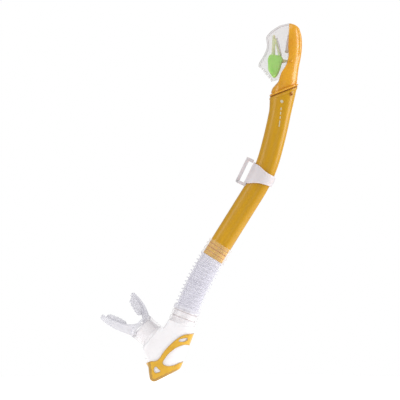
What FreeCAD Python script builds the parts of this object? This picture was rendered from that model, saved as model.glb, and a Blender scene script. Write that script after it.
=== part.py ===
import FreeCAD, Part
import math
import os
import Sketcher

# A dry snorkel: a curved oval barrel with a float valve in its head, a strap keeper, a ribbed
# silicone hose, and a lower housing with a purge valve and a turned mouthpiece.
# The snorkel lies in the XZ plane, +Z up. The origin is the middle of the keeper's strap slot.

os.makedirs("parts", exist_ok=True)
doc = FreeCAD.newDocument("snorkel")
vec = FreeCAD.Vector
yAxis = vec(0, 1, 0)
upright = FreeCAD.Rotation(vec(1, 0, 0), 90)  # turns a flat sketch into the XZ plane

dimensions = {
    # the tube's line: tilts are degrees from the vertical, in the snorkel's plane
    "slot_to_tube": 18.6,
    "tilt_keeper": 26,
    "tilt_head": 9,
    "tilt_bend": 15.5,
    "tilt_barrel": 32,
    "tilt_port": 21,
    "bend_radius": 166,
    "upper_radius": 643,
    "straight_run": 89,
    "hose_radius": 340,
    # barrel and its flare, as half widths of the oval section
    "tube_wide": 12.7,
    "tube_deep": 10.8,
    "tube_wall": 1.8,
    "flare_wide": 14.2,
    "flare_deep": 12.0,
    "flare_run": 25,
    "joint_slope": 30.3,
    "lock_radius": 1.2,
    "lock_x": 8.6,
    "beyond": 40,  # cutting blocks reach this far past what they cut
    # flexible hose
    "cuff_run": 18.5,
    "cuff_wall": 2.5,
    "hose_outer": 12.9,
    "hose_bore": 11.0,
    "fin_radius": 15.6,
    "fin_thick": 1.6,
    "fin_count": 13,
    "slip_fit": 0.06,
    # lower housing
    "port_radius": 13.1,
    "bore_radius": 11.0,
    "port_run": 18.0,
    "junction_drop": 53.1,
    "junction_radius": 12.5,
    "mouth_tilt": -50,
    "mouth_lean": 15,
    "collar_radius": 15.6,
    "collar_end": 28,
    "mouth_port_end": 43,
    "body_left": 34,
    "body_right": 16.2,
    "body_deep": 15.5,
    "body_round": 9.5,
    # purge chamber
    "purge_tilt": -32,
    "purge_x": -90.4,
    "purge_z": -229.4,
    "chamber_radius": 13.5,
    "chamber_depth": 10.5,
    "drain_radius": 9.5,
    "drain_top": 24,
    "seat_thick": 1.8,
    "spoke_wide": 1.6,
    "flap_radius": 11.5,
    "flap_thick": 1.0,
    "stem_radius": 1.5,
    "cover_thick": 1.8,
    "trim_thick": 1.0,
    # keeper
    "band_gap": 0.3,
    "band_wall": 2.6,
    "slot_inner": 15.8,
    "slot_outer": 21.4,
    "slot_half": 12.2,
    "bar_wide": 4.0,
    "rail_deep": 4.2,
    "rail_low": -13.2,
    "rail_high": 14.4,
    "rail_root": -8,
    "foot_low": -15.8,
    "gate_hinge_x": -23.4,
    "gate_hinge_z": -13.8,
    "gate_face_low": -12.0,
    "gate_neck": 0.5,
    "gate_high": 16.4,
    "gate_half": 1.9,
    "gate_pin_radius": 0.9,
    "gate_eye_radius": 2.0,
    # head
    "head_deep": 12.6,
    "housing_half": 13.9,
    "spigot_inset": 2.7,
    "spigot_room": 4.4,
    "spigot_high": 2.5,
    "spigot_low": -5,
    "pocket_half": 5.2,
    "pocket_back": 5.6,
    "pocket_low": 29.2,
    "pocket_high": 42.8,
    "pocket_wall": 1.4,
    "head_wall": 1.9,
    "cap_reach": 33.5,
    "cap_deep": 13.4,
    "cap_wall": 1.6,
    "cap_middle": -3,
    "cap_high": 80,
    "vent_slope": 42.2,
    "vent_first": 3.6,
    "vent_pitch": 4.4,
    "vent_wide": 2.4,
    "vent_half": 7,
    "vent_count": 4,
    "pivot_x": 2.9,
    "pivot_z": 36.1,
    "pivot_pin_radius": 1.0,
    "hub_radius": 2.3,
    "float_swing": 22,
    "seat_x": -5.6,
    "seat_z": 56,
    "seat_high": 10.6,
    "seat_deep": 8.4,
    "seat_land": 2.0,
    "seat_reach": 4.6,
    "seal_thick": 1.6,
    "float_half": 9.4,
    "lever_half": 2.6,
    "lever_back": -9.6,
    "arm_low": 36.9,
    "arm_high": 39.1,
    "plate_half": 3.4,
    "plate_low": 41,
    "plate_high": 66,
    "gasket_thick": 1.2,
    # mouthpiece
    "mouth_turn": 45,
    "neck_radius": 15.6,
    "neck_start": 28.4,
    "bite_half": 29.5,
    "bite_tip": 86,
    "bite_back": 45.5,
    "flange_thick": 2.4,
    "flange_high": 15,
    "tab_inner": 12.5,
    "tab_start": 61,
    "tab_end": 81,
    "tab_thick": 2.0,
    "pad_wide": 3.4,
    "pad_high": 5.5,
}

# outlines: corner points in the frame of their own sub-part
outlines = {
    "body": [(-17.8, -31.0), (-15.5, -18.6), (16.2, -18.6), (16.2, -60.6), (-5.6, -89.6), (-10.2, -88.8),
             (-18.4, -72.8), (-31.0, -61.0), (-20.8, -28.7)],
    "trim": [(17.5, -25.0), (7.3, -29.1), (0.6, -37.2), (-7.1, -53.7), (-11.2, -67.6), (-20.5, -72.6),
             (-20.5, -91.5), (-4.0, -91.5), (17.5, -70.0), (17.5, -58.4), (7.0, -66.8), (0.1, -69.4),
             (-3.8, -68.5), (-2.7, -58.9), (2.1, -47.7), (9.0, -40.5), (17.5, -37.0)],
    "vent": [(-10.9, -74.8), (-7.6, -73.6), (-1.7, -76.3), (-5.8, -81.5)],
    "slit": [(4.6, -38.1), (9.3, -32.6), (13.2, -31.7), (11.9, -34.7)],
    "band": [(18.0, 7.0), (9.0, 6.6), (-2.0, 10.6), (-8.0, 14.4), (-15.8, 14.6), (-15.8, -13.2),
             (-8.0, -10.4), (1.5, -5.4), (9.0, -4.6), (18.0, -4.4)],
    "housing": [(-16.0, -14.0), (-13.6, 2.3), (-8.3, 8.7), (-7.3, 16.3), (-5.6, 24.0), (-2.1, 30.5),
                (-1.1, 36.0), (-1.4, 44.0), (-3.3, 51.9), (-4.5, 64.9), (-5.9, 79.2), (-1.6, 79.4), (6.3, 75.6),
                (10.2, 67.3), (13.4, 50.0), (16.0, 14.0)],
    "cap": [(-5.9, 79.0), (-16.6, 75.0), (-23.1, 69.5), (-29.8, 59.6), (-27.1, 50.3), (-27.4, 44.3), (-33.0, 28.5),
            (-31.9, 24.3), (-15.8, 9.7), (-8.3, 13.9), (-7.5, 17.0), (-5.8, 24.4), (-2.3, 30.8),
            (-1.3, 36.0), (-1.6, 44.0), (-3.5, 51.9), (-4.7, 64.9)],
    "float": [(-23.5, 34.0), (-23.5, 39.6), (-20.0, 41.0), (-9.5, 40.6), (-7.0, 36.5), (-9.0, 25.0), (-10.6, 18.0),
              (-13.4, 14.6), (-21.5, 23.6)],
}

sheet = doc.addObject("Spreadsheet::Sheet", "sizes")
row = 0


def store(alias, value):
    global row
    row += 1
    sheet.set("A%d" % row, alias)
    sheet.set("B%d" % row, str(value))
    sheet.setAlias("B%d" % row, alias)


for word, number in dimensions.items():
    store(word, number)
for word, corners in outlines.items():
    for index, corner in enumerate(corners):
        store("%s_across_%d" % (word, index), corner[0])
        store("%s_along_%d" % (word, index), corner[1])
doc.recompute()


def size(alias):
    return float(sheet.get(alias))


def read(formula):
    # the value of a formula over the sheet's cells
    return float(sheet.evalExpression(formula.replace("sizes.", "")))


# frames on the snorkel


def frame(x, z, tilt, lean=0.0):
    turn = FreeCAD.Rotation(yAxis, tilt).multiply(FreeCAD.Rotation(vec(1, 0, 0), -lean))
    return FreeCAD.Placement(vec(x, 0, z), turn)


def shift(x=0.0, y=0.0, z=0.0, axis=yAxis, turn=0.0):
    return FreeCAD.Placement(vec(x, y, z), FreeCAD.Rotation(axis, turn))


keeperFrame = frame(0, 0, size("tilt_keeper")).multiply(shift(x=size("slot_to_tube")))
bendCentre = keeperFrame.multVec(vec(-size("bend_radius"), 0, 0))


def onCircle(centre, radius, tilt):
    turned = frame(centre.x, centre.z, tilt)
    return turned.multiply(shift(x=radius))


bendLow = onCircle(bendCentre, size("bend_radius"), size("tilt_barrel"))
bendHigh = onCircle(bendCentre, size("bend_radius"), size("tilt_bend"))
barrelFrame = bendLow.multiply(shift(z=-size("straight_run")))
upperCentre = bendHigh.multVec(vec(-size("upper_radius"), 0, 0))
headFrame = onCircle(upperCentre, size("upper_radius"), size("tilt_head"))
flareTurn = math.degrees(size("flare_run") / size("upper_radius"))
flareFrame = onCircle(upperCentre, size("upper_radius"), size("tilt_head") + flareTurn)
hoseCentre = barrelFrame.multVec(vec(size("hose_radius"), 0, 0))
portFrame = onCircle(hoseCentre, -size("hose_radius"), size("tilt_port"))
junction = portFrame.multVec(vec(0, 0, -size("junction_drop")))
mouthFrame = frame(junction.x, junction.z, size("mouth_tilt"), size("mouth_lean"))
biteFrame = mouthFrame.multiply(shift(axis=vec(0, 0, 1), turn=size("mouth_turn")))
purgeFrame = frame(size("purge_x"), size("purge_z"), size("purge_tilt"))
pivotFrame = headFrame.multiply(shift(x=size("pivot_x"), z=size("pivot_z")))
closedFrame = pivotFrame.multiply(shift(turn=-size("float_swing")))  # the valve's closed pose, swung open
closedFrame = closedFrame.multiply(shift(x=-size("pivot_x"), z=-size("pivot_z")))


# document objects bound to the sheet


def link(thing, **sizes):
    for name, formula in sizes.items():
        thing.setExpression(name, formula)
    return thing


def place(thing, where):
    thing.Placement = where
    return thing


def cylinder(name, radius, run, where):
    return place(link(doc.addObject("Part::Cylinder", name), Radius=radius, Height=run), where)


def box(name, low, high, where):
    # low and high are corner formulas; the box keeps its own frame
    corner = vec(*[read(formula) for formula in low])
    block = doc.addObject("Part::Box", name)
    spans = ["(%s) - (%s)" % pair for pair in zip(high, low)]
    link(block, Length=spans[0], Width=spans[1], Height=spans[2])
    return place(block, where.multiply(FreeCAD.Placement(corner, FreeCAD.Rotation())))


def ellipse(name, wide, deep, where):
    return place(link(doc.addObject("Part::Ellipse", name), MajorRadius=wide, MinorRadius=deep), where)


def prism(name, wide, deep, run, where):
    # an oval column standing on the frame's XY plane
    base = ellipse(name + "Oval", wide, deep, where)
    column = link(doc.addObject("Part::Extrusion", name), LengthFwd=run)
    column.Base = base
    column.DirMode = "Normal"
    column.Solid = True
    return column


def slab(name, outline, half, where, grow=None):
    # an outline in the XZ plane, drawn out by half to both sides
    sketch = doc.addObject("Sketcher::SketchObject", name + "Sketch")
    corners = outlines[outline]
    points = [vec(corner[0], corner[1], 0) for corner in corners]
    ends = points[1:] + points[:1]
    for start, end in zip(points, ends):
        sketch.addGeometry(Part.LineSegment(start, end))
    for edge in range(len(points)):
        follows = (edge + 1) % len(points)
        sketch.addConstraint(Sketcher.Constraint("Coincident", edge, 2, follows, 1))
    for edge, point in enumerate(points):
        for kind, word, value in (("DistanceX", "across", point.x), ("DistanceY", "along", point.y)):
            index = sketch.addConstraint(Sketcher.Constraint(kind, -1, 1, edge, 1, value))
            sketch.setExpression("Constraints[%d]" % index, "sizes.%s_%s_%d" % (outline, word, edge))
    sketch.Placement = where.multiply(FreeCAD.Placement(vec(), upright))
    source = sketch
    if grow:
        source = link(doc.addObject("Part::Offset2D", name + "Grown"), Value=grow)
        source.Source = sketch
        source.Join = 2
    solid = link(doc.addObject("Part::Extrusion", name), LengthFwd=half, LengthRev=half)
    solid.Base = source
    solid.DirMode = "Normal"
    solid.Solid = True
    return solid


def torus(name, section, start, sweep, where):
    # a bent round bar about the frame's Y axis; start and sweep are in degrees
    ring = link(doc.addObject("Part::Torus", name), Radius1="sizes.hose_radius", Radius2=section, Angle3=sweep)
    return place(ring, where.multiply(FreeCAD.Placement(vec(), upright)).multiply(
        shift(axis=vec(0, 0, 1), turn=start)))


def fuse(name, *things):
    joined = doc.addObject("Part::MultiFuse", name)
    joined.Shapes = list(things)
    return joined


def common(name, *things):
    shared = doc.addObject("Part::MultiCommon", name)
    shared.Shapes = list(things)
    return shared


def cut(name, base, tool):
    result = doc.addObject("Part::Cut", name)
    result.Base = base
    result.Tool = tool
    return result


nodes = []


def node(name, thing):
    thing.Label = name
    nodes.append(thing)
    return thing


# barrel


def barrelLine():
    # the tube's centre line: straight, then the bend, then the long upper curve
    bendMid = onCircle(bendCentre, size("bend_radius"), (size("tilt_barrel") + size("tilt_bend")) / 2)
    upperTilt = size("tilt_head") + flareTurn
    upperMid = onCircle(upperCentre, size("upper_radius"), (size("tilt_bend") + upperTilt) / 2)
    straight = Part.makeLine(barrelFrame.Base, bendLow.Base)
    bend = Part.Arc(bendLow.Base, bendMid.Base, bendHigh.Base).toShape()
    upper = Part.Arc(bendHigh.Base, upperMid.Base, flareFrame.Base).toShape()
    spine = doc.addObject("Part::Feature", "tubeLine")
    spine.Shape = Part.Wire([straight, bend, upper])
    return spine


def sweptTube(name, spine, inset):
    oval = ellipse(name + "Oval", "sizes.tube_wide" + inset, "sizes.tube_deep" + inset, barrelFrame)
    swept = doc.addObject("Part::Sweep", name)
    swept.Sections = [oval]
    swept.Spine = (spine, ["Edge1", "Edge2", "Edge3"])
    swept.Solid = True
    return swept


def flare(name, inset):
    low = ellipse(name + "Low", "sizes.tube_wide" + inset, "sizes.tube_deep" + inset, flareFrame)
    mid = ellipse(name + "Mid", "sizes.flare_wide" + inset, "sizes.flare_deep" + inset, headFrame)
    top = ellipse(name + "Top", "sizes.flare_wide" + inset, "sizes.flare_deep" + inset,
                  headFrame.multiply(shift(z=10)))
    loft = doc.addObject("Part::Loft", name)
    loft.Sections = [low, mid, top]
    loft.Solid = True
    loft.Ruled = True
    return loft


jointFrame = headFrame.multiply(shift(turn=-size("joint_slope")))


def lockHoles(name, low, high):
    pins = []
    for side in (-1, 1):
        where = headFrame.multiply(shift(x=size("lock_x"), y=side * low, axis=vec(1, 0, 0), turn=-90 * side))
        word = "Far" if side > 0 else "Near"
        pins.append(cylinder(name + word, "sizes.lock_radius", str(high - low), where))
    return fuse(name, *pins)


def aboveBlock(name, level):
    # all that is above a level of the slanted joint
    return box(name, ("-sizes.beyond", "-sizes.beyond", level), ("sizes.beyond",) * 3, jointFrame)


def belowBlock(name, level):
    return box(name, ("-sizes.beyond",) * 3, ("sizes.beyond", "sizes.beyond", level), jointFrame)


def barrel():
    spine = barrelLine()
    outer = fuse("tubeOuter", sweptTube("tubeSkin", spine, ""), flare("flareSkin", ""))
    inner = fuse("tubeInner", sweptTube("tubeVoid", spine, " - sizes.tube_wall"),
                 flare("flareVoid", " - sizes.tube_wall"))
    above = aboveBlock("aboveJoint", "0")
    hollow = cut("tubeHollow", outer, inner)
    trimmed = cut("tubeTrimmed", hollow, above)
    return node("barrel", cut("barrel", trimmed, lockHoles("lockHole", 6.0, 14.0)))


def lockPins():
    return node("lock_pins", lockHoles("lockPin", 8.2, 10.0))


# head


def joinRing(name, wide, deep, low, high):
    where = jointFrame.multiply(shift(z=low))
    return prism(name, wide, deep, str(high - low), where)


def housingSeal():
    slope = " / cos(sizes.joint_slope)"
    outer = joinRing("sealOuter", "(sizes.flare_wide + 0.5)" + slope, "sizes.flare_deep + 0.5", 0.0,
                     size("gasket_thick"))
    inner = joinRing("sealInner", "(sizes.flare_wide - 1.8)" + slope, "sizes.flare_deep - 1.8", -1.0,
                     size("gasket_thick") + 1.0)
    return node("housing_seal", cut("housingSeal", outer, inner))


def seatPlug(name, grow, back, front):
    # an oval plug through the valve port, its axis square to the housing's front wall
    where = headFrame.multiply(shift(x=front, z=size("seat_z")))
    side = FreeCAD.Placement(vec(), FreeCAD.Rotation(vec(0, 0, 1), vec(1, 0, 0)))
    high = "sizes.seat_high + %g" % grow
    deep = "sizes.seat_deep + %g" % grow
    return prism(name, high, deep, str(back - front), where.multiply(side))


def hingeHole(name, radius, half):
    where = pivotFrame.multiply(shift(y=-half, axis=vec(1, 0, 0), turn=-90))
    return cylinder(name, radius, str(2 * half), where)


def valveHousing():
    tall = "sizes.cap_high + 30"
    base = headFrame.multiply(shift(x=-0.4, z=-20))
    inset = " - sizes.head_wall"
    outline = slab("housingSlab", "housing", "sizes.head_deep + 2", headFrame)
    skin = common("housingSkin", outline, prism("housingOval", "sizes.housing_half", "sizes.head_deep", tall, base))
    innerLine = slab("housingInner", "housing", "sizes.head_deep + 2", headFrame, "-sizes.head_wall")
    roomOval = prism("housingRoom", "sizes.housing_half" + inset, "sizes.head_deep" + inset, tall, base)
    upperRoom = common("upperRoom", innerLine, roomOval)
    lowerRoom = prism("lowerRoom", "sizes.flare_wide - sizes.spigot_room", "sizes.flare_deep - sizes.spigot_room",
                      "26", headFrame.multiply(shift(z=-15)))
    below = belowBlock("belowJoint", "sizes.gasket_thick")
    shell = cut("housingShell", cut("housingTop", skin, below), upperRoom)
    spigotSkin = prism("spigotSkin", "sizes.flare_wide - sizes.spigot_inset",
                       "sizes.flare_deep - sizes.spigot_inset", "26", headFrame.multiply(shift(z=-14)))
    ends = fuse("spigotEnds", aboveBlock("aboveSpigot", "sizes.spigot_high"),
                belowBlock("belowSpigot", "sizes.spigot_low"))
    spigot = cut("spigotCut", spigotSkin, ends)
    pocketSkin = box("pocketSkin", ("-4", "-sizes.pocket_half - sizes.pocket_wall",
                                    "sizes.pocket_low - sizes.pocket_wall"),
                     ("sizes.pocket_back + sizes.pocket_wall", "sizes.pocket_half + sizes.pocket_wall",
                      "sizes.pocket_high + sizes.pocket_wall"), headFrame)
    pocketSolid = common("pocketSolid", pocketSkin, outline)
    joined = fuse("housingJoined", shell, spigot, pocketSolid)
    bored = cut("housingBored", joined, lowerRoom)
    pocket = box("pocket", ("-10", "-sizes.pocket_half", "sizes.pocket_low"),
                 ("sizes.pocket_back", "sizes.pocket_half", "sizes.pocket_high"), headFrame)
    port = seatPlug("portHole", -size("seat_land") + 1.0, 4.0, -12.0)
    openings = fuse("housingOpenings", pocket, port, hingeHole("pivotHole", "sizes.pivot_pin_radius", 20.0),
                    lockHoles("lockSocket", 6.0, 10.2))
    return node("valve_housing", cut("valveHousing", bored, openings))


def valveSeat():
    ring = seatPlug("seatRing", 0.0, size("seat_x") + size("seat_reach"), size("seat_x"))
    hole = seatPlug("seatHole", -size("seat_land"), 6.0, -12.0)
    wall = doc.getObject("housingSlab")
    return node("valve_seat", cut("valveSeat", cut("seatTrimmed", ring, wall), hole))


def floatPin():
    return node("float_pin", hingeHole("floatPin", "sizes.pivot_pin_radius", 11.6))


def floatCap():
    base = headFrame.multiply(shift(x=size("cap_middle"), z=-5))
    half = "sizes.cap_reach + sizes.cap_middle"
    tall = "sizes.cap_high + 20"
    skin = common("capSkin", slab("capSlab", "cap", "sizes.cap_deep + 2", headFrame),
                  prism("capOval", half, "sizes.cap_deep", tall, base))
    line = slab("capInner", "cap", "sizes.cap_deep + 2", headFrame, "-sizes.cap_wall")
    roomHalf = "sizes.cap_deep - sizes.cap_wall"
    room = common("capRoom", line, prism("capRoomOval", half + " - sizes.cap_wall", roomHalf, tall, base))
    # the cap is open at the back, where it meets the housing
    backDoor = box("capBack", ("-9.6", "-(" + roomHalf + ") + 0.9", "17.6"), ("6", roomHalf + " - 0.9", "74"),
                   headFrame)
    start = headFrame.multiply(shift(x=outlines["cap"][7][0], z=outlines["cap"][7][1], turn=size("vent_slope")))
    slots = []
    for index in range(int(size("vent_count"))):
        near = "sizes.vent_first + sizes.vent_pitch * %d" % index
        slots.append(box("ventSlot%d" % index, (near, "-sizes.vent_half", "-3"),
                         (near + " + sizes.vent_wide", "sizes.vent_half", "3"), start))
    hollow = fuse("capHollow", room, backDoor, *slots)
    return node("float_cap", cut("floatCap", skin, hollow))


def floatBody():
    base = headFrame.multiply(shift(x=size("cap_middle"), z=10))
    block = common("floatBlock", slab("floatSlab", "float", "sizes.float_half + 1", headFrame),
                   prism("floatOval", "sizes.cap_reach - 8", "sizes.float_half", "40", base))
    return node("float", cut("floatFoam", block, doc.getObject("leverSolid")))


def floatLever():
    hub = hingeHole("leverHub", "sizes.hub_radius", 4.6)
    arm = box("leverArm", ("sizes.lever_back", "-sizes.lever_half", "sizes.arm_low"),
              ("3.2", "sizes.lever_half", "sizes.arm_high"), closedFrame)
    beam = box("leverBeam", ("-12.6", "-sizes.lever_half", "-1.0"), ("0", "sizes.lever_half", "1.4"), pivotFrame)
    carrier = box("leverPlate", ("sizes.lever_back", "-sizes.plate_half", "sizes.plate_low"),
                  ("sizes.seat_x - sizes.seal_thick - 0.3", "sizes.plate_half", "sizes.plate_high"), closedFrame)
    web = box("leverWeb", ("sizes.lever_back", "-sizes.lever_half", "sizes.arm_low"),
              ("-7.5", "sizes.lever_half", "sizes.plate_low + 4"), closedFrame)
    solid = fuse("leverSolid", hub, arm, beam, carrier, web)
    bored = cut("leverBored", solid, hingeHole("leverBore", "sizes.pivot_pin_radius + sizes.slip_fit", 20.0))
    return node("float_lever", bored)


def sealFlap():
    face = size("seat_x") - 0.3
    side = FreeCAD.Placement(vec(), FreeCAD.Rotation(vec(0, 0, 1), vec(1, 0, 0)))
    where = closedFrame.multiply(shift(x=face - size("seal_thick"), z=size("seat_z"))).multiply(side)
    disc = prism("flapDisc", "sizes.seat_high", "sizes.seat_deep", "sizes.seal_thick", where)
    return node("seal_flap", cut("sealFlap", disc, doc.getObject("leverSolid")))


# keeper


def bandRing(name, gap, spread):
    # the oval tube swept round the bend, from spread degrees below the keeper to spread above
    low = onCircle(bendCentre, size("bend_radius"), size("tilt_keeper") + spread)
    oval = ellipse(name + "Oval", "sizes.tube_wide + " + gap, "sizes.tube_deep + " + gap, low)
    turned = doc.addObject("Part::Revolution", name)
    turned.Source = oval
    turned.Axis = vec(0, -1, 0)
    turned.Base = bendCentre
    turned.Angle = 2 * spread
    turned.Solid = True
    return turned


def keeperBand():
    outer = bandRing("bandOuter", "sizes.band_gap + sizes.band_wall", 5.6)
    profile = slab("bandSlab", "band", "20", keeperFrame)
    wrap = common("bandWrap", outer, profile)
    rail = box("bandRail", ("-sizes.slot_inner", "-sizes.rail_deep", "sizes.rail_low"),
               ("sizes.rail_root", "sizes.rail_deep", "sizes.rail_high"), keeperFrame)
    foot = box("bandFoot", ("sizes.gate_hinge_x", "-sizes.rail_deep", "sizes.foot_low"),
               ("sizes.rail_root", "sizes.rail_deep", "-sizes.slot_half"), keeperFrame)
    boss = cylinder("bandBoss", "sizes.gate_eye_radius", "2 * sizes.rail_deep", gateHinge(-size("rail_deep")))
    solid = fuse("bandSolid", wrap, rail, foot, boss)
    eyeRoom = box("eyeRoom", ("-27", "-2.2", "-17"), ("-20.6", "2.2", "-11"), keeperFrame)
    inner = bandRing("bandInner", "sizes.band_gap", 8.0)
    pinHole = cylinder("gatePinHole", "sizes.gate_pin_radius", "20", gateHinge(-10.0))
    return node("keeper_band", cut("keeperBand", solid, fuse("bandCuts", eyeRoom, inner, pinHole)))


def gateHinge(y):
    centre = shift(x=size("gate_hinge_x"), y=y, z=size("gate_hinge_z"), axis=vec(1, 0, 0), turn=-90)
    return keeperFrame.multiply(centre)


def gatePin():
    return node("gate_pin", cylinder("gatePin", "sizes.gate_pin_radius", "2 * sizes.rail_deep",
                                     gateHinge(-size("rail_deep"))))


def strapGate():
    outside = "-sizes.slot_outer - sizes.bar_wide"
    bar = box("gateBar", (outside, "-sizes.gate_half", "sizes.gate_face_low"),
              ("-sizes.slot_outer", "sizes.gate_half", "sizes.gate_high"), keeperFrame)
    neck = box("gateNeck", (outside, "-sizes.gate_half", "sizes.gate_hinge_z"),
               ("-sizes.slot_outer - sizes.gate_neck", "sizes.gate_half", "sizes.gate_face_low"), keeperFrame)
    top = box("gateTop", ("-sizes.slot_outer - 0.5", "-sizes.gate_half", "12.6"),
              ("-sizes.slot_inner - 0.5", "sizes.gate_half", "sizes.gate_high"), keeperFrame)
    eye = cylinder("gateEye", "sizes.gate_eye_radius", "2 * sizes.gate_half", gateHinge(-size("gate_half")))
    bore = cylinder("gateBore", "sizes.gate_pin_radius + sizes.slip_fit", "20", gateHinge(-10.0))
    return node("strap_gate", cut("strapGate", fuse("gateSolid", bar, neck, top, eye), bore))


# hose


def flexHose():
    centre = frame(hoseCentre.x, hoseCentre.z, size("tilt_barrel"))
    turn = "sizes.tilt_barrel - sizes.tilt_port"
    body = torus("hoseBody", "sizes.hose_outer", 180, turn, centre)
    void = torus("hoseVoid", "sizes.hose_bore", 180, turn, centre)
    fins = []
    finTurn = math.degrees(size("fin_thick") / size("hose_radius"))
    pitch = (read(turn) - finTurn) / (size("fin_count") + 1)
    for index in range(int(size("fin_count"))):
        start = 180 + pitch * (index + 1)
        fins.append(torus("hoseFin%d" % index, "sizes.fin_radius", start, str(finTurn), centre))
    upperCuff = prism("upperCuff", "sizes.tube_wide + sizes.cuff_wall", "sizes.tube_deep + sizes.cuff_wall",
                      "sizes.cuff_run + 2", barrelFrame.multiply(shift(z=-2)))
    upperBore = prism("upperBore", "sizes.tube_wide + sizes.slip_fit", "sizes.tube_deep + sizes.slip_fit",
                      "sizes.cuff_run + 4", barrelFrame)
    upperNeck = cylinder("upperNeck", "sizes.hose_bore - 0.5", "8", barrelFrame.multiply(shift(z=-4)))
    lowerCuff = cylinder("lowerCuff", "sizes.collar_radius", "sizes.port_run + 2",
                         portFrame.multiply(shift(z=-size("port_run"))))
    lowerBore = cylinder("lowerBore", "sizes.port_radius + sizes.slip_fit", "sizes.port_run + 2",
                         portFrame.multiply(shift(z=-size("port_run") - 2)))
    lowerNeck = cylinder("lowerNeck", "sizes.hose_bore - 0.5", "5", portFrame.multiply(shift(z=-4)))
    solid = fuse("hoseSolid", body, upperCuff, lowerCuff, *fins)
    hollow = fuse("hoseCuts", void, upperBore, upperNeck, lowerBore, lowerNeck)
    return node("flex_hose", cut("flexHose", solid, hollow))


# lower housing and purge valve


def bodySkin(name, grow):
    line = slab(name + "Slab", "body", "sizes.body_deep + 6", portFrame, grow)
    spread = "(sizes.body_left + sizes.body_right) / 2 + 6" + (" + " + grow if grow else "")
    deep = "sizes.body_deep" + (" + " + grow if grow else "")
    middle = (size("body_right") - size("body_left")) / 2
    right = frameColumn(name + "Right", grow)
    oval = prism(name + "Oval", spread, deep, "90", portFrame.multiply(shift(x=middle, z=-100)))
    return common(name, line, oval, right)


def frameColumn(name, grow):
    # rounds the housing's right and left edges in plan, keeping its faces nearly flat
    extra = size("trim_thick") if grow else 0.0
    solid = box(name, (str(-size("body_left") - extra), str(-size("body_deep") - extra), "-100"),
                (str(size("body_right") + extra), str(size("body_deep") + extra), "-10"), portFrame)
    rounded = doc.addObject("Part::Fillet", name + "Round")
    rounded.Base = solid
    doc.recompute()
    radius = size("body_round") + extra
    lengthwise = portFrame.Rotation.multVec(vec(0, 0, 1))
    chosen = []
    for index, edge in enumerate(solid.Shape.Edges):
        along = (edge.Vertexes[1].Point - edge.Vertexes[0].Point).normalize()
        if abs(along.dot(lengthwise)) > 0.99:
            chosen.append((index + 1, radius, radius))
    rounded.Edges = chosen
    return rounded


def lowerHousing():
    skin = bodySkin("bodySkin", None)
    hosePort = cylinder("hosePort", "sizes.port_radius", "sizes.port_run + 4",
                        portFrame.multiply(shift(z=-size("port_run") - 4.5)))
    collar = cylinder("mouthCollar", "sizes.collar_radius", "sizes.collar_end - 2", mouthFrame.multiply(shift(z=2)))
    mouthPort = cylinder("mouthPort", "sizes.port_radius", "sizes.mouth_port_end", mouthFrame)
    neckRoom = cylinder("neckRoom", "sizes.collar_radius + 4", "30", mouthFrame.multiply(shift(z=size("collar_end"))))
    solid = fuse("bodySolid", cut("bodyRelieved", skin, neckRoom), hosePort, collar, mouthPort)
    hoseBore = cylinder("hoseBore", "sizes.bore_radius", "sizes.junction_drop + 4",
                        portFrame.multiply(shift(z=-size("junction_drop"))))
    mouthBore = cylinder("mouthBore", "sizes.bore_radius", "sizes.mouth_port_end + 6", mouthFrame)
    ball = link(doc.addObject("Part::Sphere", "junctionBall"), Radius="sizes.junction_radius")
    place(ball, frame(junction.x, junction.z, 0))
    drain = cylinder("drainBore", "sizes.drain_radius", "sizes.drain_top - 6", purgeFrame.multiply(shift(z=6)))
    chamber = cylinder("chamber", "sizes.chamber_radius", "sizes.chamber_depth + 4", purgeFrame.multiply(shift(z=-4)))
    ventHole = slab("ventHole", "vent", "20", portFrame)
    hollow = fuse("bodyHollow", hoseBore, mouthBore, ball, drain, chamber, ventHole)
    return node("lower_housing", cut("lowerHousing", solid, hollow))


def purgeTrim():
    band = common("trimBand", bodySkin("trimSkin", "sizes.trim_thick"),
                  slab("trimSlab", "trim", "30", portFrame))
    windows = fuse("trimWindows", slab("trimVent", "vent", "30", portFrame), slab("trimSlit", "slit", "30", portFrame))
    core = fuse("trimCore", doc.getObject("bodySkin"), doc.getObject("mouthCollar"))
    floor = cylinder("trimFloor", "sizes.chamber_radius - 1", "8", purgeFrame.multiply(shift(z=-5)))
    return node("purge_trim", cut("purgeTrim", band, fuse("trimCuts", core, windows, floor)))


def purgeSeat():
    top = size("chamber_depth")
    where = purgeFrame.multiply(shift(z=top - size("seat_thick")))
    disc = cylinder("seatDisc", "sizes.chamber_radius", "sizes.seat_thick", where)
    opening = cylinder("seatOpening", "sizes.drain_radius - 0.5", "6", where.multiply(shift(z=-2)))
    spokes = []
    for index in range(3):
        spin = where.multiply(shift(axis=vec(0, 0, 1), turn=60.0 * index))
        spokes.append(box("seatSpoke%d" % index, ("-sizes.drain_radius", "-sizes.spoke_wide / 2", "0"),
                          ("sizes.drain_radius", "sizes.spoke_wide / 2", "sizes.seat_thick"), spin))
    hub = cylinder("seatHub", "sizes.stem_radius + 1.6", "sizes.seat_thick", where)
    stemHole = cylinder("seatStemHole", "sizes.stem_radius + sizes.slip_fit", "6", where.multiply(shift(z=-2)))
    plate = cut("seatPlate", disc, opening)
    return node("purge_seat", cut("purgeSeat", fuse("seatSolid", plate, hub, *spokes), stemHole))


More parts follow.
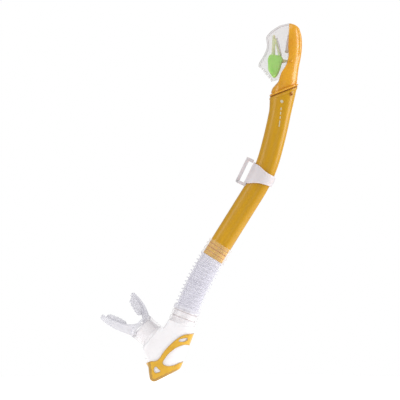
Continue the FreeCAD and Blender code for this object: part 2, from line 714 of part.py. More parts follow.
def purgeDiaphragm():
    under = size("chamber_depth") - size("seat_thick") - 0.1
    disc = cylinder("flapPlate", "sizes.flap_radius", "sizes.flap_thick",
                    purgeFrame.multiply(shift(z=under - size("flap_thick"))))
    stem = cylinder("flapStem", "sizes.stem_radius", "sizes.seat_thick + 2.4",
                    purgeFrame.multiply(shift(z=under - 0.5)))
    knob = cylinder("flapKnob", "sizes.stem_radius + 0.9", "1.2",
                    purgeFrame.multiply(shift(z=under + size("seat_thick") + 1.9)))
    return node("purge_diaphragm", fuse("purgeDiaphragm", disc, stem, knob))


def purgeCover():
    # the cap that closes the chamber, with a ring of drain slots
    plate = cylinder("coverPlate", "sizes.chamber_radius", "sizes.cover_thick", purgeFrame.multiply(shift(z=0.2)))
    slots = []
    for index in range(6):
        spin = purgeFrame.multiply(shift(z=-1, axis=vec(0, 0, 1), turn=60.0 * index))
        slots.append(box("coverSlot%d" % index, ("4", "-1.2", "0"), ("11", "1.2", "6"), spin))
    return node("purge_cover", cut("purgeCover", plate, fuse("coverSlots", *slots)))


# mouthpiece


def mouthpiece():
    neck = cylinder("neckTube", "sizes.neck_radius", "sizes.bite_back + 4 - sizes.neck_start",
                    biteFrame.multiply(shift(z=size("neck_start"))))
    arch = biteFrame.multiply(shift(z=size("bite_tip"), y=size("flange_high"), axis=vec(1, 0, 0), turn=90))
    depth = "sizes.bite_tip - sizes.bite_back"
    # the arch's oval stands on its long half axis, which runs towards the mouth
    turned = arch.multiply(shift(axis=vec(0, 0, 1), turn=90))
    outer = prism("archOuter", depth, "sizes.bite_half", "2 * sizes.flange_high", turned)
    inner = prism("archInner", depth + " - sizes.flange_thick", "sizes.bite_half - sizes.flange_thick",
                  "2 * sizes.flange_high + 2", turned.multiply(shift(z=-1)))
    beyond = box("beyondTips", ("-50", "-40", "sizes.bite_tip"), ("50", "40", "sizes.bite_tip + 60"), biteFrame)
    flange = cut("flangeTrim", cut("flangeArch", outer, inner), beyond)
    pieces = [neck, flange]
    for side, word in ((-1, "Left"), (1, "Right")):
        near = "sizes.tab_inner" if side > 0 else "-sizes.bite_half + 1.6"
        far = "sizes.bite_half - 1.6" if side > 0 else "-sizes.tab_inner"
        pieces.append(box("tab" + word, (near, "-sizes.tab_thick", "sizes.tab_start"),
                          (far, "sizes.tab_thick", "sizes.tab_end"), biteFrame))
        inside = "sizes.tab_inner" if side > 0 else "-sizes.tab_inner - sizes.pad_wide"
        outside = "sizes.tab_inner + sizes.pad_wide" if side > 0 else "-sizes.tab_inner"
        pieces.append(box("pad" + word, (inside, "-sizes.pad_high", "sizes.tab_start"),
                          (outside, "sizes.pad_high", "sizes.tab_end"), biteFrame))
    solid = fuse("mouthSolid", *pieces)
    throat = cylinder("mouthThroat", "sizes.bore_radius - 0.5", "40",
                      biteFrame.multiply(shift(z=size("mouth_port_end"))))
    socket = cylinder("mouthSocket", "sizes.port_radius + sizes.slip_fit",
                      "sizes.mouth_port_end + 0.3 - sizes.neck_start + 1",
                      biteFrame.multiply(shift(z=size("neck_start") - 1)))
    return node("mouthpiece", cut("mouthpiece", solid, fuse("mouthCuts", throat, socket)))


barrel()
lockPins()
housingSeal()
valveHousing()
valveSeat()
floatPin()
floatCap()
floatLever()
floatBody()
sealFlap()
keeperBand()
gatePin()
strapGate()
flexHose()
lowerHousing()
purgeTrim()
purgeSeat()
purgeDiaphragm()
purgeCover()
mouthpiece()
doc.recompute()

for thing in doc.Objects:
    for word in ("Invalid", "Error"):
        if word in thing.State:
            raise RuntimeError("%s is %s" % (thing.Name, thing.State))
for thing in nodes:
    if thing.Shape.isNull() or not thing.Shape.isValid():
        raise RuntimeError("%s has no valid shape" % thing.Label)
    print("%-18s solids %d  volume %.0f mm3" % (thing.Label, len(thing.Shape.Solids), thing.Shape.Volume))
    thing.Shape.exportStep("parts/%s.step" % thing.Label)
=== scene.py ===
import bmesh
import bpy
import math
from mathutils import Matrix, Vector
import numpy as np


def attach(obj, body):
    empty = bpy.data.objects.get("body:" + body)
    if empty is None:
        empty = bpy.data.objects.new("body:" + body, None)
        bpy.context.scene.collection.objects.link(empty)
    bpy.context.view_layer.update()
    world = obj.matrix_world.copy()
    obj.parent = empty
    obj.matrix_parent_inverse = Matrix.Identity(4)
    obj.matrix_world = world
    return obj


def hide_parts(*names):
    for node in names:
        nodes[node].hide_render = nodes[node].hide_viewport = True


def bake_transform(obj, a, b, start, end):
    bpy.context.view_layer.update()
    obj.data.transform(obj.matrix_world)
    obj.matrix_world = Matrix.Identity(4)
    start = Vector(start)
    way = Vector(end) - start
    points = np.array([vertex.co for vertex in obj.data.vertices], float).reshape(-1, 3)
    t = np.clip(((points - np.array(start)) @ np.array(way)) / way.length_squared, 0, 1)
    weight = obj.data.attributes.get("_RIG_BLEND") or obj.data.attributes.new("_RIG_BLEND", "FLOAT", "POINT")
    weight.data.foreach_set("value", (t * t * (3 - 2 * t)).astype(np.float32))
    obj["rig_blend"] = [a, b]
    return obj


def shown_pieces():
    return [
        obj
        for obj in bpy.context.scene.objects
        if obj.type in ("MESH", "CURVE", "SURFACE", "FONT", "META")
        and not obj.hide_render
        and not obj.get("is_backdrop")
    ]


# A dry snorkel: amber barrel, float valve head under a clear cap, strap keeper, ribbed clear hose,
# white lower housing with an amber trim, and a turned silicone mouthpiece. Sizes are in millimetres
# until a mesh is finished, and the origin is the middle of the keeper's strap slot.

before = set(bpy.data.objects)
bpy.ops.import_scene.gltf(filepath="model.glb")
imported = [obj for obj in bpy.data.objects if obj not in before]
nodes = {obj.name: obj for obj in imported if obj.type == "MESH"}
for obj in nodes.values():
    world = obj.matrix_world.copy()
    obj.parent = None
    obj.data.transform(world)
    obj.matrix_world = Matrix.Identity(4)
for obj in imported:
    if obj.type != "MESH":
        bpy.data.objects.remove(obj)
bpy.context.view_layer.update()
mm = 0.001
print("frame loaded:", len(nodes), "CAD nodes")


# the tube's line, in tilts from the vertical and radii
line = {
    "slotToTube": 18.6,
    "keeperTilt": 26.0,
    "headTilt": 9.0,
    "bendTilt": 15.5,
    "barrelTilt": 32.0,
    "splitTilt": 26.5,
    "portTilt": 21.0,
    "bendRadius": 166.0,
    "upperRadius": 643.0,
    "straightRun": 89.0,
    "hoseRadius": 340.0,
    "junctionDrop": 53.1,
    "mouthTilt": -50.0,
    "mouthLean": 15.0,
    "mouthTurn": 45.0,
    "jointSlope": 30.3,
}
yAxis = Vector((0, 1, 0))
lying = Matrix.Rotation(math.radians(90), 4, "X")


def across(tilt):
    turn = math.radians(tilt)
    return Vector((math.cos(turn), 0, -math.sin(turn)))


def along(tilt):
    turn = math.radians(tilt)
    return Vector((math.sin(turn), 0, math.cos(turn)))


def tilted(point, tilt, lean=0.0, spin=0.0):
    turn = Matrix.Rotation(math.radians(tilt), 4, "Y") @ Matrix.Rotation(math.radians(-lean), 4, "X")
    return Matrix.Translation(point) @ turn @ Matrix.Rotation(math.radians(spin), 4, "Z")


keeperPoint = across(line["keeperTilt"]) * line["slotToTube"]
bendCentre = keeperPoint - across(line["keeperTilt"]) * line["bendRadius"]
upperCentre = bendCentre + across(line["bendTilt"]) * (line["bendRadius"] - line["upperRadius"])
headPoint = upperCentre + across(line["headTilt"]) * line["upperRadius"]
bendLow = bendCentre + across(line["barrelTilt"]) * line["bendRadius"]
barrelEnd = bendLow - along(line["barrelTilt"]) * line["straightRun"]
hoseCentre = barrelEnd + across(line["barrelTilt"]) * line["hoseRadius"]
portPoint = hoseCentre - across(line["portTilt"]) * line["hoseRadius"]
splitPoint = hoseCentre - across(line["splitTilt"]) * line["hoseRadius"]
junction = portPoint - along(line["portTilt"]) * line["junctionDrop"]

keeperAt = tilted(Vector(), line["keeperTilt"]) @ Matrix.Translation((line["slotToTube"], 0, 0))
headAt = tilted(headPoint, line["headTilt"])
portAt = tilted(portPoint, line["portTilt"])
mouthAt = tilted(junction, line["mouthTilt"], line["mouthLean"])
biteAt = tilted(junction, line["mouthTilt"], line["mouthLean"], line["mouthTurn"])
purgeAt = tilted(Vector((-90.4, 0, -229.4)), -32.0)
slope = math.tan(math.radians(line["jointSlope"]))

bendRun = math.radians(line["barrelTilt"] - line["bendTilt"]) * line["bendRadius"]
upperRun = math.radians(line["bendTilt"] - line["headTilt"]) * line["upperRadius"]
tubeRun = line["straightRun"] + bendRun + upperRun


def tubePoint(run, x, y):
    # a point beside the tube's centre line, run up from the barrel's lower end
    if run < line["straightRun"]:
        tilt = line["barrelTilt"]
        centre = barrelEnd + along(tilt) * run
    elif run < line["straightRun"] + bendRun:
        tilt = line["barrelTilt"] - math.degrees((run - line["straightRun"]) / line["bendRadius"])
        centre = bendCentre + across(tilt) * line["bendRadius"]
    else:
        tilt = line["bendTilt"] - math.degrees((run - line["straightRun"] - bendRun) / line["upperRadius"])
        centre = upperCentre + across(tilt) * line["upperRadius"]
    return centre + across(tilt) * x + yAxis * y


def hosePoint(run, x, y):
    # the same down the hose: run is measured down from the barrel's lower end
    if run < 0:
        return tubePoint(-run, x, y)
    bend = math.radians(line["barrelTilt"] - line["portTilt"]) * line["hoseRadius"]
    if run > bend:
        return portPoint - along(line["portTilt"]) * (run - bend) + across(line["portTilt"]) * x + yAxis * y
    tilt = line["barrelTilt"] - math.degrees(run / line["hoseRadius"])
    return hoseCentre - across(tilt) * (line["hoseRadius"] - x) + yAxis * y


def follow(points, at):
    # a smooth value between (place, value) pairs
    if at <= points[0][0]:
        return points[0][1]
    if at >= points[-1][0]:
        return points[-1][1]
    index = 0
    while points[index + 1][0] < at:
        index += 1
    (a, low), (b, high) = points[index], points[index + 1]

    def lean(k):
        before = points[max(k - 1, 0)]
        after = points[min(k + 1, len(points) - 1)]
        return (after[1] - before[1]) / (after[0] - before[0])

    share = (at - a) / (b - a)
    span = b - a
    square = share * share
    cube = square * share
    return (
        (2 * cube - 3 * square + 1) * low
        + (cube - 2 * square + share) * span * lean(index)
        + (3 * square - 2 * cube) * high
        + (cube - square) * span * lean(index + 1)
    )


def ease(share):
    share = min(max(share, 0.0), 1.0)
    return share * share * (3 - 2 * share)


# mesh helpers


def startMesh():
    bm = bmesh.new()
    bm.verts.layers.float.new("turn")
    return bm


def loft(bm, stations, sides, shut=False):
    # rings of verts drawn out from station to station; each station turns an angle into a point
    turn = bm.verts.layers.float["turn"]
    ring = bmesh.ops.create_circle(bm, segments=sides, radius=1.0)["verts"]
    last = list({edge for vert in ring for edge in vert.link_edges})
    first = last
    for vert in ring:
        vert[turn] = math.atan2(vert.co.y, vert.co.x)
    for vert in ring:
        vert.co = stations[0](vert[turn])
    for station in stations[1:]:
        made = bmesh.ops.extrude_edge_only(bm, edges=last)["geom"]
        fresh = {item for item in made if isinstance(item, bmesh.types.BMVert)}
        last = [
            item for item in made
            if isinstance(item, bmesh.types.BMEdge) and item.verts[0] in fresh and item.verts[1] in fresh
        ]
        for vert in fresh:
            vert.co = station(vert[turn])
    if shut:
        bmesh.ops.bridge_loops(bm, edges=first + last)
    return first, last


def fillRing(bm, edges):
    bmesh.ops.edgeloop_fill(bm, edges=edges)


def outline(bm, corners, depth):
    # a flat face on the XZ plane drawn out to both sides of it
    verts = [bm.verts.new((x, -depth, z)) for x, z in corners]
    face = bm.faces.new(verts)
    made = bmesh.ops.extrude_face_region(bm, geom=[face])["geom"]
    fresh = [item for item in made if isinstance(item, bmesh.types.BMVert)]
    bmesh.ops.translate(bm, verts=fresh, vec=(0, 2 * depth, 0))
    return verts + fresh


def block(bm, low, high, at=None):
    size = [b - a for a, b in zip(low, high)]
    middle = [(a + b) / 2 for a, b in zip(low, high)]
    place = (at or Matrix()) @ Matrix.Translation(middle) @ Matrix.Diagonal((*size, 1))
    return bmesh.ops.create_cube(bm, size=1.0, matrix=place)["verts"]


def rod(bm, radius, length, at, sides=40, endRadius=None):
    # a round bar standing on the plane of at
    place = at @ Matrix.Translation((0, 0, length / 2))
    return bmesh.ops.create_cone(
        bm, cap_ends=True, segments=sides, radius1=radius,
        radius2=radius if endRadius is None else endRadius, depth=length, matrix=place,
    )["verts"]


def bar(bm, at, size, sides):
    # a round bar given by its radius, its length and where it starts along the frame's Z
    radius, length, start = size
    return rod(bm, radius, length, at @ Matrix.Translation((0, 0, start)), sides)


def turned(profile, at=None):
    # the stations of a round profile given as (height, radius) pairs
    place = at or Matrix()

    def ring(height, radius):
        def station(turn):
            return place @ Vector((radius * math.cos(turn), radius * math.sin(turn), height))

        return station

    return [ring(height, radius) for height, radius in profile]


def soften(bm, width, segments=3, limit=30, edges=None):
    if edges is None:
        edges = [
            edge for edge in bm.edges
            if len(edge.link_faces) == 2 and math.degrees(edge.calc_face_angle(0)) > limit
        ]
    bmesh.ops.bevel(
        bm, geom=edges, offset=width, offset_type="OFFSET", affect="EDGES", segments=segments,
        profile=0.5, material=-1, clamp_overlap=True,
    )


def placed(name, data):
    holder = bpy.data.objects.new(name, data)
    bpy.context.scene.collection.objects.link(holder)
    return holder


def finishMesh(name, bm, at=None, sharp=40):
    bmesh.ops.remove_doubles(bm, verts=bm.verts, dist=0.001)
    bmesh.ops.recalc_face_normals(bm, faces=bm.faces)
    bm.transform(Matrix.Scale(mm, 4) @ (at or Matrix()))
    mesh = bpy.data.meshes.new(name)
    bm.to_mesh(mesh)
    bm.free()
    piece = placed(name, mesh)
    shadeSmooth(mesh, sharp)
    return piece


def shadeSmooth(mesh, sharp=40):
    for polygon in mesh.polygons:
        polygon.use_smooth = True
    mesh.set_sharp_from_angle(angle=math.radians(sharp))


def applyAll(piece, sharp=40):
    graph = bpy.context.evaluated_depsgraph_get()
    mesh = bpy.data.meshes.new_from_object(piece.evaluated_get(graph))
    piece.modifiers.clear()
    old = piece.data
    piece.data = mesh
    bpy.data.meshes.remove(old)
    mesh.name = piece.name
    shadeSmooth(mesh, sharp)


def melt(piece, voxel, rounds, sharp=60):
    # joins overlapping solids into one skin with soft inner corners
    remesh = piece.modifiers.new("melt", "REMESH")
    remesh.mode = "VOXEL"
    remesh.voxel_size = voxel * mm
    applyAll(piece)
    bm = bmesh.new()
    bm.from_mesh(piece.data)
    for _ in range(rounds):
        bmesh.ops.smooth_vert(
            bm, verts=bm.verts, factor=0.5, use_axis_x=True, use_axis_y=True, use_axis_z=True
        )
    bm.to_mesh(piece.data)
    bm.free()
    shadeSmooth(piece.data, sharp)


def drop(piece):
    mesh = piece.data
    bpy.data.objects.remove(piece)
    bpy.data.meshes.remove(mesh)


def carveWith(piece, tool, how="DIFFERENCE", sharp=40):
    cut = piece.modifiers.new("carve", "BOOLEAN")
    cut.operation = how
    cut.solver = "EXACT"
    cut.object = tool
    bpy.context.view_layer.update()
    applyAll(piece, sharp)


def carve(piece, bm, how="DIFFERENCE", sharp=40):
    # takes the solids in bm away from the piece, or keeps what they share with it
    tool = finishMesh("carvingTool", bm)
    carveWith(piece, tool, how, sharp)
    drop(tool)


def reopen(piece):
    # a piece's mesh back in millimetres, to be worked on further
    bm = bmesh.new()
    bm.from_mesh(piece.data)
    bm.transform(Matrix.Scale(1 / mm, 4))
    return bm


def dress(piece, material, body, slotName, *replaced):
    piece.data.materials.clear()
    piece.data.materials.append(material)
    if body:
        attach(piece, body)
    if replaced:
        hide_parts(*replaced)
    return piece


# materials


def newMaterial(name):
    material = bpy.data.materials.new(name)
    material.use_nodes = True
    return material, material.node_tree, material.node_tree.nodes["Principled BSDF"]


def setInputs(node, values):
    for name, value in values.items():
        node.inputs[name].default_value = value


def addNode(tree, kind, values=None, feeds=None):
    # a new node with some inputs set and others fed by outputs of earlier nodes
    node = tree.nodes.new("ShaderNode" + kind)
    setInputs(node, values or {})
    for name, output in (feeds or {}).items():
        tree.links.new(output, node.inputs[name])
    return node


def moulded(name, look):
    # moulded plastic or rubber: cloudy colour, uneven gloss, a fine grain and broad ripples
    material, tree, shader = newMaterial(name)
    coords = addNode(tree, "TexCoord").outputs["Object"]
    shift = addNode(tree, "Mapping", {
        "Scale": look.get("stretch", (1, 1, 1)), "Rotation": (0, math.radians(look.get("turn", 0)), 0),
    }, {"Vector": coords})
    clouds = addNode(tree, "TexNoise", {
        "Scale": look.get("cloudScale", 60), "Detail": 4,
    }, {"Vector": shift.outputs["Vector"]})
    spread = addNode(tree, "MapRange", {"From Min": 0.3, "From Max": 0.7}, {"Value": clouds.outputs["Fac"]})
    tint = tree.nodes.new("ShaderNodeMix")
    tint.data_type = "RGBA"
    setInputs(tint, {"A": (*look["colour"], 1), "B": (*look["shade"], 1)})
    tree.links.new(spread.outputs["Result"], tint.inputs["Factor"])
    tree.links.new(tint.outputs["Result"], shader.inputs["Base Color"])

    wear = addNode(tree, "TexNoise", {"Scale": 300, "Detail": 6, "Distortion": 0.6}, {"Vector": coords})
    gloss = addNode(tree, "MapRange", {
        "From Min": 0.3, "From Max": 0.75, "To Min": look["rough"][0], "To Max": look["rough"][1],
    }, {"Value": wear.outputs["Fac"]})
    tree.links.new(gloss.outputs["Result"], shader.inputs["Roughness"])

    grain = addNode(tree, "TexNoise", {
        "Scale": look.get("grainScale", 1800), "Detail": 3,
    }, {"Vector": coords})
    ripple = addNode(tree, "TexNoise", {
        "Scale": look.get("rippleScale", 130), "Detail": 1,
    }, {"Vector": coords})
    fine = addNode(tree, "Bump", {
        "Strength": look.get("grainBump", 0.12), "Distance": 0.0002,
    }, {"Height": grain.outputs["Fac"]})
    broad = addNode(tree, "Bump", {
        "Strength": look.get("rippleBump", 0.15), "Distance": 0.0012,
    }, {"Height": ripple.outputs["Fac"], "Normal": fine.outputs["Normal"]})
    tree.links.new(broad.outputs["Normal"], shader.inputs["Normal"])

    setInputs(shader, {
        "IOR": look.get("ior", 1.48), "Metallic": look.get("metal", 0), "Alpha": look.get("body", 1),
        "Coat Weight": look.get("coat", 0), "Coat Roughness": look.get("coatRough", 0.1),
        "Subsurface Weight": look.get("under", 0), "Subsurface Scale": 0.003,
        "Subsurface Radius": look.get("underRadius", (1, 0.6, 0.3)),
    })
    if "edge" in look:
        # clear walls look denser where they turn away
        lean = addNode(tree, "LayerWeight", {"Blend": 0.5})
        density = addNode(tree, "MapRange", {
            "From Min": 0.45, "From Max": 0.95, "To Min": look["body"], "To Max": look["edge"],
        }, {"Value": lean.outputs["Facing"]})
        tree.links.new(density.outputs["Result"], shader.inputs["Alpha"])
    return material


amberTube = moulded("amberTube", {
    "colour": (0.68, 0.35, 0.002), "shade": (0.59, 0.30, 0.001), "rough": (0.28, 0.4), "cloudScale": 45,
    "stretch": (1, 1, 0.15), "turn": -24, "rippleBump": 0.08, "under": 0.05, "coat": 0.1, "coatRough": 0.2,
})
# darker amber for the ridges under the upper cuff: painted shade for the dark lines seen through the cuff
amberRidgeShade = moulded("amberRidgeShade", {
    "colour": (0.56, 0.22, 0.02), "shade": (0.48, 0.17, 0.015), "rough": (0.35, 0.5),
})
orangeShell = moulded("orangeShell", {
    "colour": (0.86, 0.42, 0.008), "shade": (0.76, 0.33, 0.005), "rough": (0.22, 0.34), "cloudScale": 70,
    "rippleBump": 0.1, "under": 0.08, "coat": 0.6, "coatRough": 0.16,
})
amberTrim = moulded("amberTrim", {
    "colour": (0.79, 0.455, 0.035), "shade": (0.68, 0.37, 0.02), "rough": (0.3, 0.44), "cloudScale": 90,
    "rippleBump": 0.1, "under": 0.1, "coat": 0.08, "coatRough": 0.2,
})
# darker gold for the trim's rims: painted shade on rounded edges
trimEdgeShade = moulded("trimEdgeShade", {
    "colour": (0.52, 0.30, 0.06), "shade": (0.44, 0.24, 0.04), "rough": (0.3, 0.45),
})
sealRing = moulded("sealRing", {
    "colour": (0.40, 0.14, 0.02), "shade": (0.34, 0.11, 0.015), "rough": (0.5, 0.65), "grainBump": 0.25,
})
clearCap = moulded("clearCap", {
    "colour": (0.64, 0.56, 0.57), "shade": (0.52, 0.46, 0.47), "rough": (0.05, 0.14), "ior": 1.46,
    "body": 0.10, "edge": 0.78, "cloudScale": 60, "grainBump": 0.02, "rippleBump": 0.3, "rippleScale": 90,
})
limeFloat = moulded("limeFloat", {
    "colour": (0.44, 1.0, 0.14), "shade": (0.54, 1.0, 0.20), "rough": (0.6, 0.8), "cloudScale": 160,
    "grainScale": 900, "grainBump": 0.5, "rippleBump": 0.3, "under": 0.3, "underRadius": (0.6, 1, 0.3),
})
paleLever = moulded("paleLever", {
    "colour": (0.90, 0.94, 0.58), "shade": (0.86, 0.90, 0.52), "rough": (0.35, 0.5), "under": 0.2,
})
whiteKeeper = moulded("whiteKeeper", {
    "colour": (0.80, 0.735, 0.74), "shade": (0.75, 0.69, 0.695), "rough": (0.32, 0.46), "under": 0.2,
    "underRadius": (1, 0.8, 0.7), "coat": 0.1,
})
whiteShell = moulded("whiteShell", {
    "colour": (0.94, 0.915, 0.92), "shade": (0.90, 0.875, 0.88), "rough": (0.25, 0.38), "under": 0.15,
    "underRadius": (1, 0.9, 0.85), "coat": 0.15,
})
hoseSilicone = moulded("hoseSilicone", {
    "colour": (0.90, 0.885, 0.945), "shade": (0.82, 0.805, 0.88), "rough": (0.22, 0.36), "ior": 1.41,
    "body": 0.44, "edge": 0.7, "cloudScale": 260, "grainBump": 0.06, "rippleBump": 0.12, "rippleScale": 240,
})
cuffSilicone = moulded("cuffSilicone", {
    "colour": (0.97, 0.92, 0.93), "shade": (0.92, 0.87, 0.88), "rough": (0.12, 0.25), "ior": 1.41,
    "body": 0.07, "edge": 0.5, "cloudScale": 200, "grainBump": 0.06, "rippleBump": 0.12, "rippleScale": 240,
})
biteSilicone = moulded("biteSilicone", {
    "colour": (0.86, 0.85, 0.89), "shade": (0.78, 0.77, 0.81), "rough": (0.2, 0.35), "ior": 1.41,
    "body": 0.7, "edge": 1.0, "cloudScale": 150, "grainBump": 0.05, "rippleBump": 0.12, "rippleScale": 200,
})
sealSilicone = moulded("sealSilicone", {
    "colour": (0.90, 0.85, 0.84), "shade": (0.84, 0.79, 0.78), "rough": (0.3, 0.45),
})
# grey for the bottoms of the lower cuff's grooves: painted shade in the grooves
grooveShade = moulded("grooveShade", {
    "colour": (0.60, 0.53, 0.52), "shade": (0.52, 0.46, 0.45), "rough": (0.3, 0.45), "body": 0.55,
})
steelPin = moulded("steelPin", {
    "colour": (0.62, 0.60, 0.57), "shade": (0.55, 0.53, 0.50), "rough": (0.2, 0.35), "metal": 1,
    "stretch": (1, 0.1, 1),
})
printInk = moulded("printInk", {
    "colour": (0.74, 0.68, 0.52), "shade": (0.68, 0.56, 0.32), "rough": (0.4, 0.6), "cloudScale": 900,
})
print("materials made")


# barrel

barrel = {
    "sides": 72,
    "half": (12.7, 10.8),
    "flare": (14.2, 12.0),
    "flareRun": 25.0,
    "wall": 1.8,
    "crease": 1.5,
    "creaseWidth": 3.6,
    "rim": 0.7,
    "creaseAt": 0.6,
    "step": 5.0,
    "ridges": (5.2, 9.8, 14.4),
    "ridgeHigh": 0.35,
    "ridgeWide": 0.7,
    "ridgeStep": 0.4,
    "ridgeShadeHalf": 0.45,
    "sunk": (2.0, 18.0),
    "sunkEnd": ((18.2, -0.3), (18.6, 0.0)),
    "cuffed": 18.5,
    "plainFrom": 22.0,
    "rimRun": 5.0,
    "lip": 0.35,
    "innerStep": 12.0,
}


def barrelStation(run, grow, shear=0.0, creased=1.0):
    share = ease((run - tubeRun + barrel["flareRun"]) / barrel["flareRun"])
    wide = barrel["half"][0] + (barrel["flare"][0] - barrel["half"][0]) * share + grow
    deep = barrel["half"][1] + (barrel["flare"][1] - barrel["half"][1]) * share + grow

    def station(turn):
        x = wide * math.cos(turn)
        y = deep * math.sin(turn)
        dip = math.exp(-(((x - barrel["creaseAt"]) / barrel["creaseWidth"]) ** 2))
        y -= math.copysign(barrel["crease"] * dip * creased * (1 - share), y)
        return tubePoint(run + shear * slope * x, x, y)

    return station


def makeBarrel():
    bm = startMesh()
    stations = [barrelStation(0.0, -0.6), barrelStation(0.5, 0.0)]
    run, end = barrel["sunk"]
    while run < end:
        # three low ridges in the stretch that the cuff covers
        swells = [math.exp(-(((run - ridge) / barrel["ridgeWide"]) ** 2)) for ridge in barrel["ridges"]]
        stations.append(barrelStation(run, sum(swells) * barrel["ridgeHigh"] - barrel["ridgeHigh"]))
        run += barrel["ridgeStep"]
    stations += [barrelStation(run, grow) for run, grow in barrel["sunkEnd"]]
    run = barrel["plainFrom"]
    flareFrom = tubeRun - barrel["flareRun"]
    while run < flareFrom:
        stations.append(barrelStation(run, 0.0))
        run += barrel["step"]
    flared = barrel["flareRun"] - barrel["rimRun"]
    for index in range(9):
        share = index / 8
        stations.append(barrelStation(flareFrom + flared * share, 0.0, share))
    rim, lip = barrel["rim"], barrel["lip"]
    rimProfile = ((3.2, 0.0), (2.9, rim / 2), (2.3, rim), (0.9, rim), (0.3, 0.4), (-0.1, 0.0), (-lip, -lip))
    stations += [barrelStation(tubeRun - below, grow, 1.0) for below, grow in rimProfile]
    inner = -barrel["wall"]
    stations.append(barrelStation(tubeRun + lip, inner + 0.3, 1.0))
    for index in range(6):
        share = 1 - index / 5
        stations.append(barrelStation(tubeRun - barrel["flareRun"] * (1 - share), inner, share, 0.0))
    run = flareFrom - 10
    while run > 2:
        stations.append(barrelStation(run, inner, 0.0, 0.0))
        run -= barrel["innerStep"]
    stations.append(barrelStation(0.0, inner, 0.0, 0.0))
    loft(bm, stations, barrel["sides"], shut=True)
    piece = finishMesh("barrelTube", bm, sharp=35)
    dress(piece, amberTube, "barrel", "amber_tube", "barrel")
    piece.data.materials.append(amberRidgeShade)
    piece.data.materials.append(amberTrim)
    for polygon in piece.data.polygons:
        run = (polygon.center / mm - barrelEnd).dot(along(line["barrelTilt"]))
        if polygon.normal.dot(polygon.center / mm - barrelEnd - along(line["barrelTilt"]) * run) > 0:
            # outer faces on the three ridges take the darker amber: painted shade for the dark lines seen
            # through the cuff
            ridgeShaded = any(abs(run - ridge) < barrel["ridgeShadeHalf"] for ridge in barrel["ridges"])
            # the other outer faces under the cuff take the lighter trim amber: painted light against the
            # shade under the cuff
            polygon.material_index = 1 if ridgeShaded else 2 if run < barrel["cuffed"] else 0
    return piece


mark = {
    "disc": (11.0, 1.7),
    "dashes": ((18.0, 3.0), (23.0, 3.0), (28.0, 3.0), (33.0, 7.0)),
    "dashHalf": 0.55,
    "drift": 0.09,
    "aside": 1.6,
    "thick": 0.12,
    "sunk": 0.1,
}


def makeMark():
    # plain print down the front of the barrel: a dot and a broken stripe
    bm = bmesh.new()

    def place(verts, level, half):
        for vert in verts:
            below = level - vert.co.y
            x = vert.co.x * half + mark["drift"] * below - mark["aside"]
            turn = -math.acos(x / barrel["half"][0])
            vert.co = barrelStation(tubeRun - below, mark["thick"])(turn)

    level, radius = mark["disc"]
    verts = bmesh.ops.create_circle(bm, cap_ends=True, cap_tris=True, segments=32, radius=radius)["verts"]
    place(verts, level, 1.0)
    for start, length in mark["dashes"]:
        verts = bmesh.ops.create_grid(bm, x_segments=3, y_segments=8, size=1.0)["verts"]
        for vert in verts:
            vert.co.y *= length / 2
        place(verts, start + length / 2, mark["dashHalf"])
    bmesh.ops.recalc_face_normals(bm, faces=bm.faces)
    bmesh.ops.solidify(bm, geom=bm.faces[:], thickness=mark["thick"] + mark["sunk"])
    piece = finishMesh("barrelMark", bm)
    return dress(piece, printInk, "barrel", "amber_tube")


dots = {
    "place": (8.75, 9.8, -0.9),
    "facing": (0.541, 0.841),
    "profile": ((-0.6, 1.9), (0.45, 1.9), (0.65, 1.7), (0.65, 1.3), (0.45, 1.1), (-0.6, 1.1)),
}


def makeLockDots():
    # rings round the two lock dots, one on each side just under the joint
    bm = startMesh()
    for side in (-1, 1):
        x, y, z = dots["place"]
        out = Vector((dots["facing"][0], side * dots["facing"][1], 0))
        at = Matrix.Translation((x, side * y, z)) @ out.to_track_quat("Z", "Y").to_matrix().to_4x4()
        loft(bm, turned(dots["profile"], at), 32, shut=True)
    piece = finishMesh("lockDots", bm, headAt)
    return dress(piece, sealRing, "barrel", "amber_tube")


makeBarrel()
makeMark()
makeLockDots()
print("barrel made")


# valve head: housing, cap and what moves under it

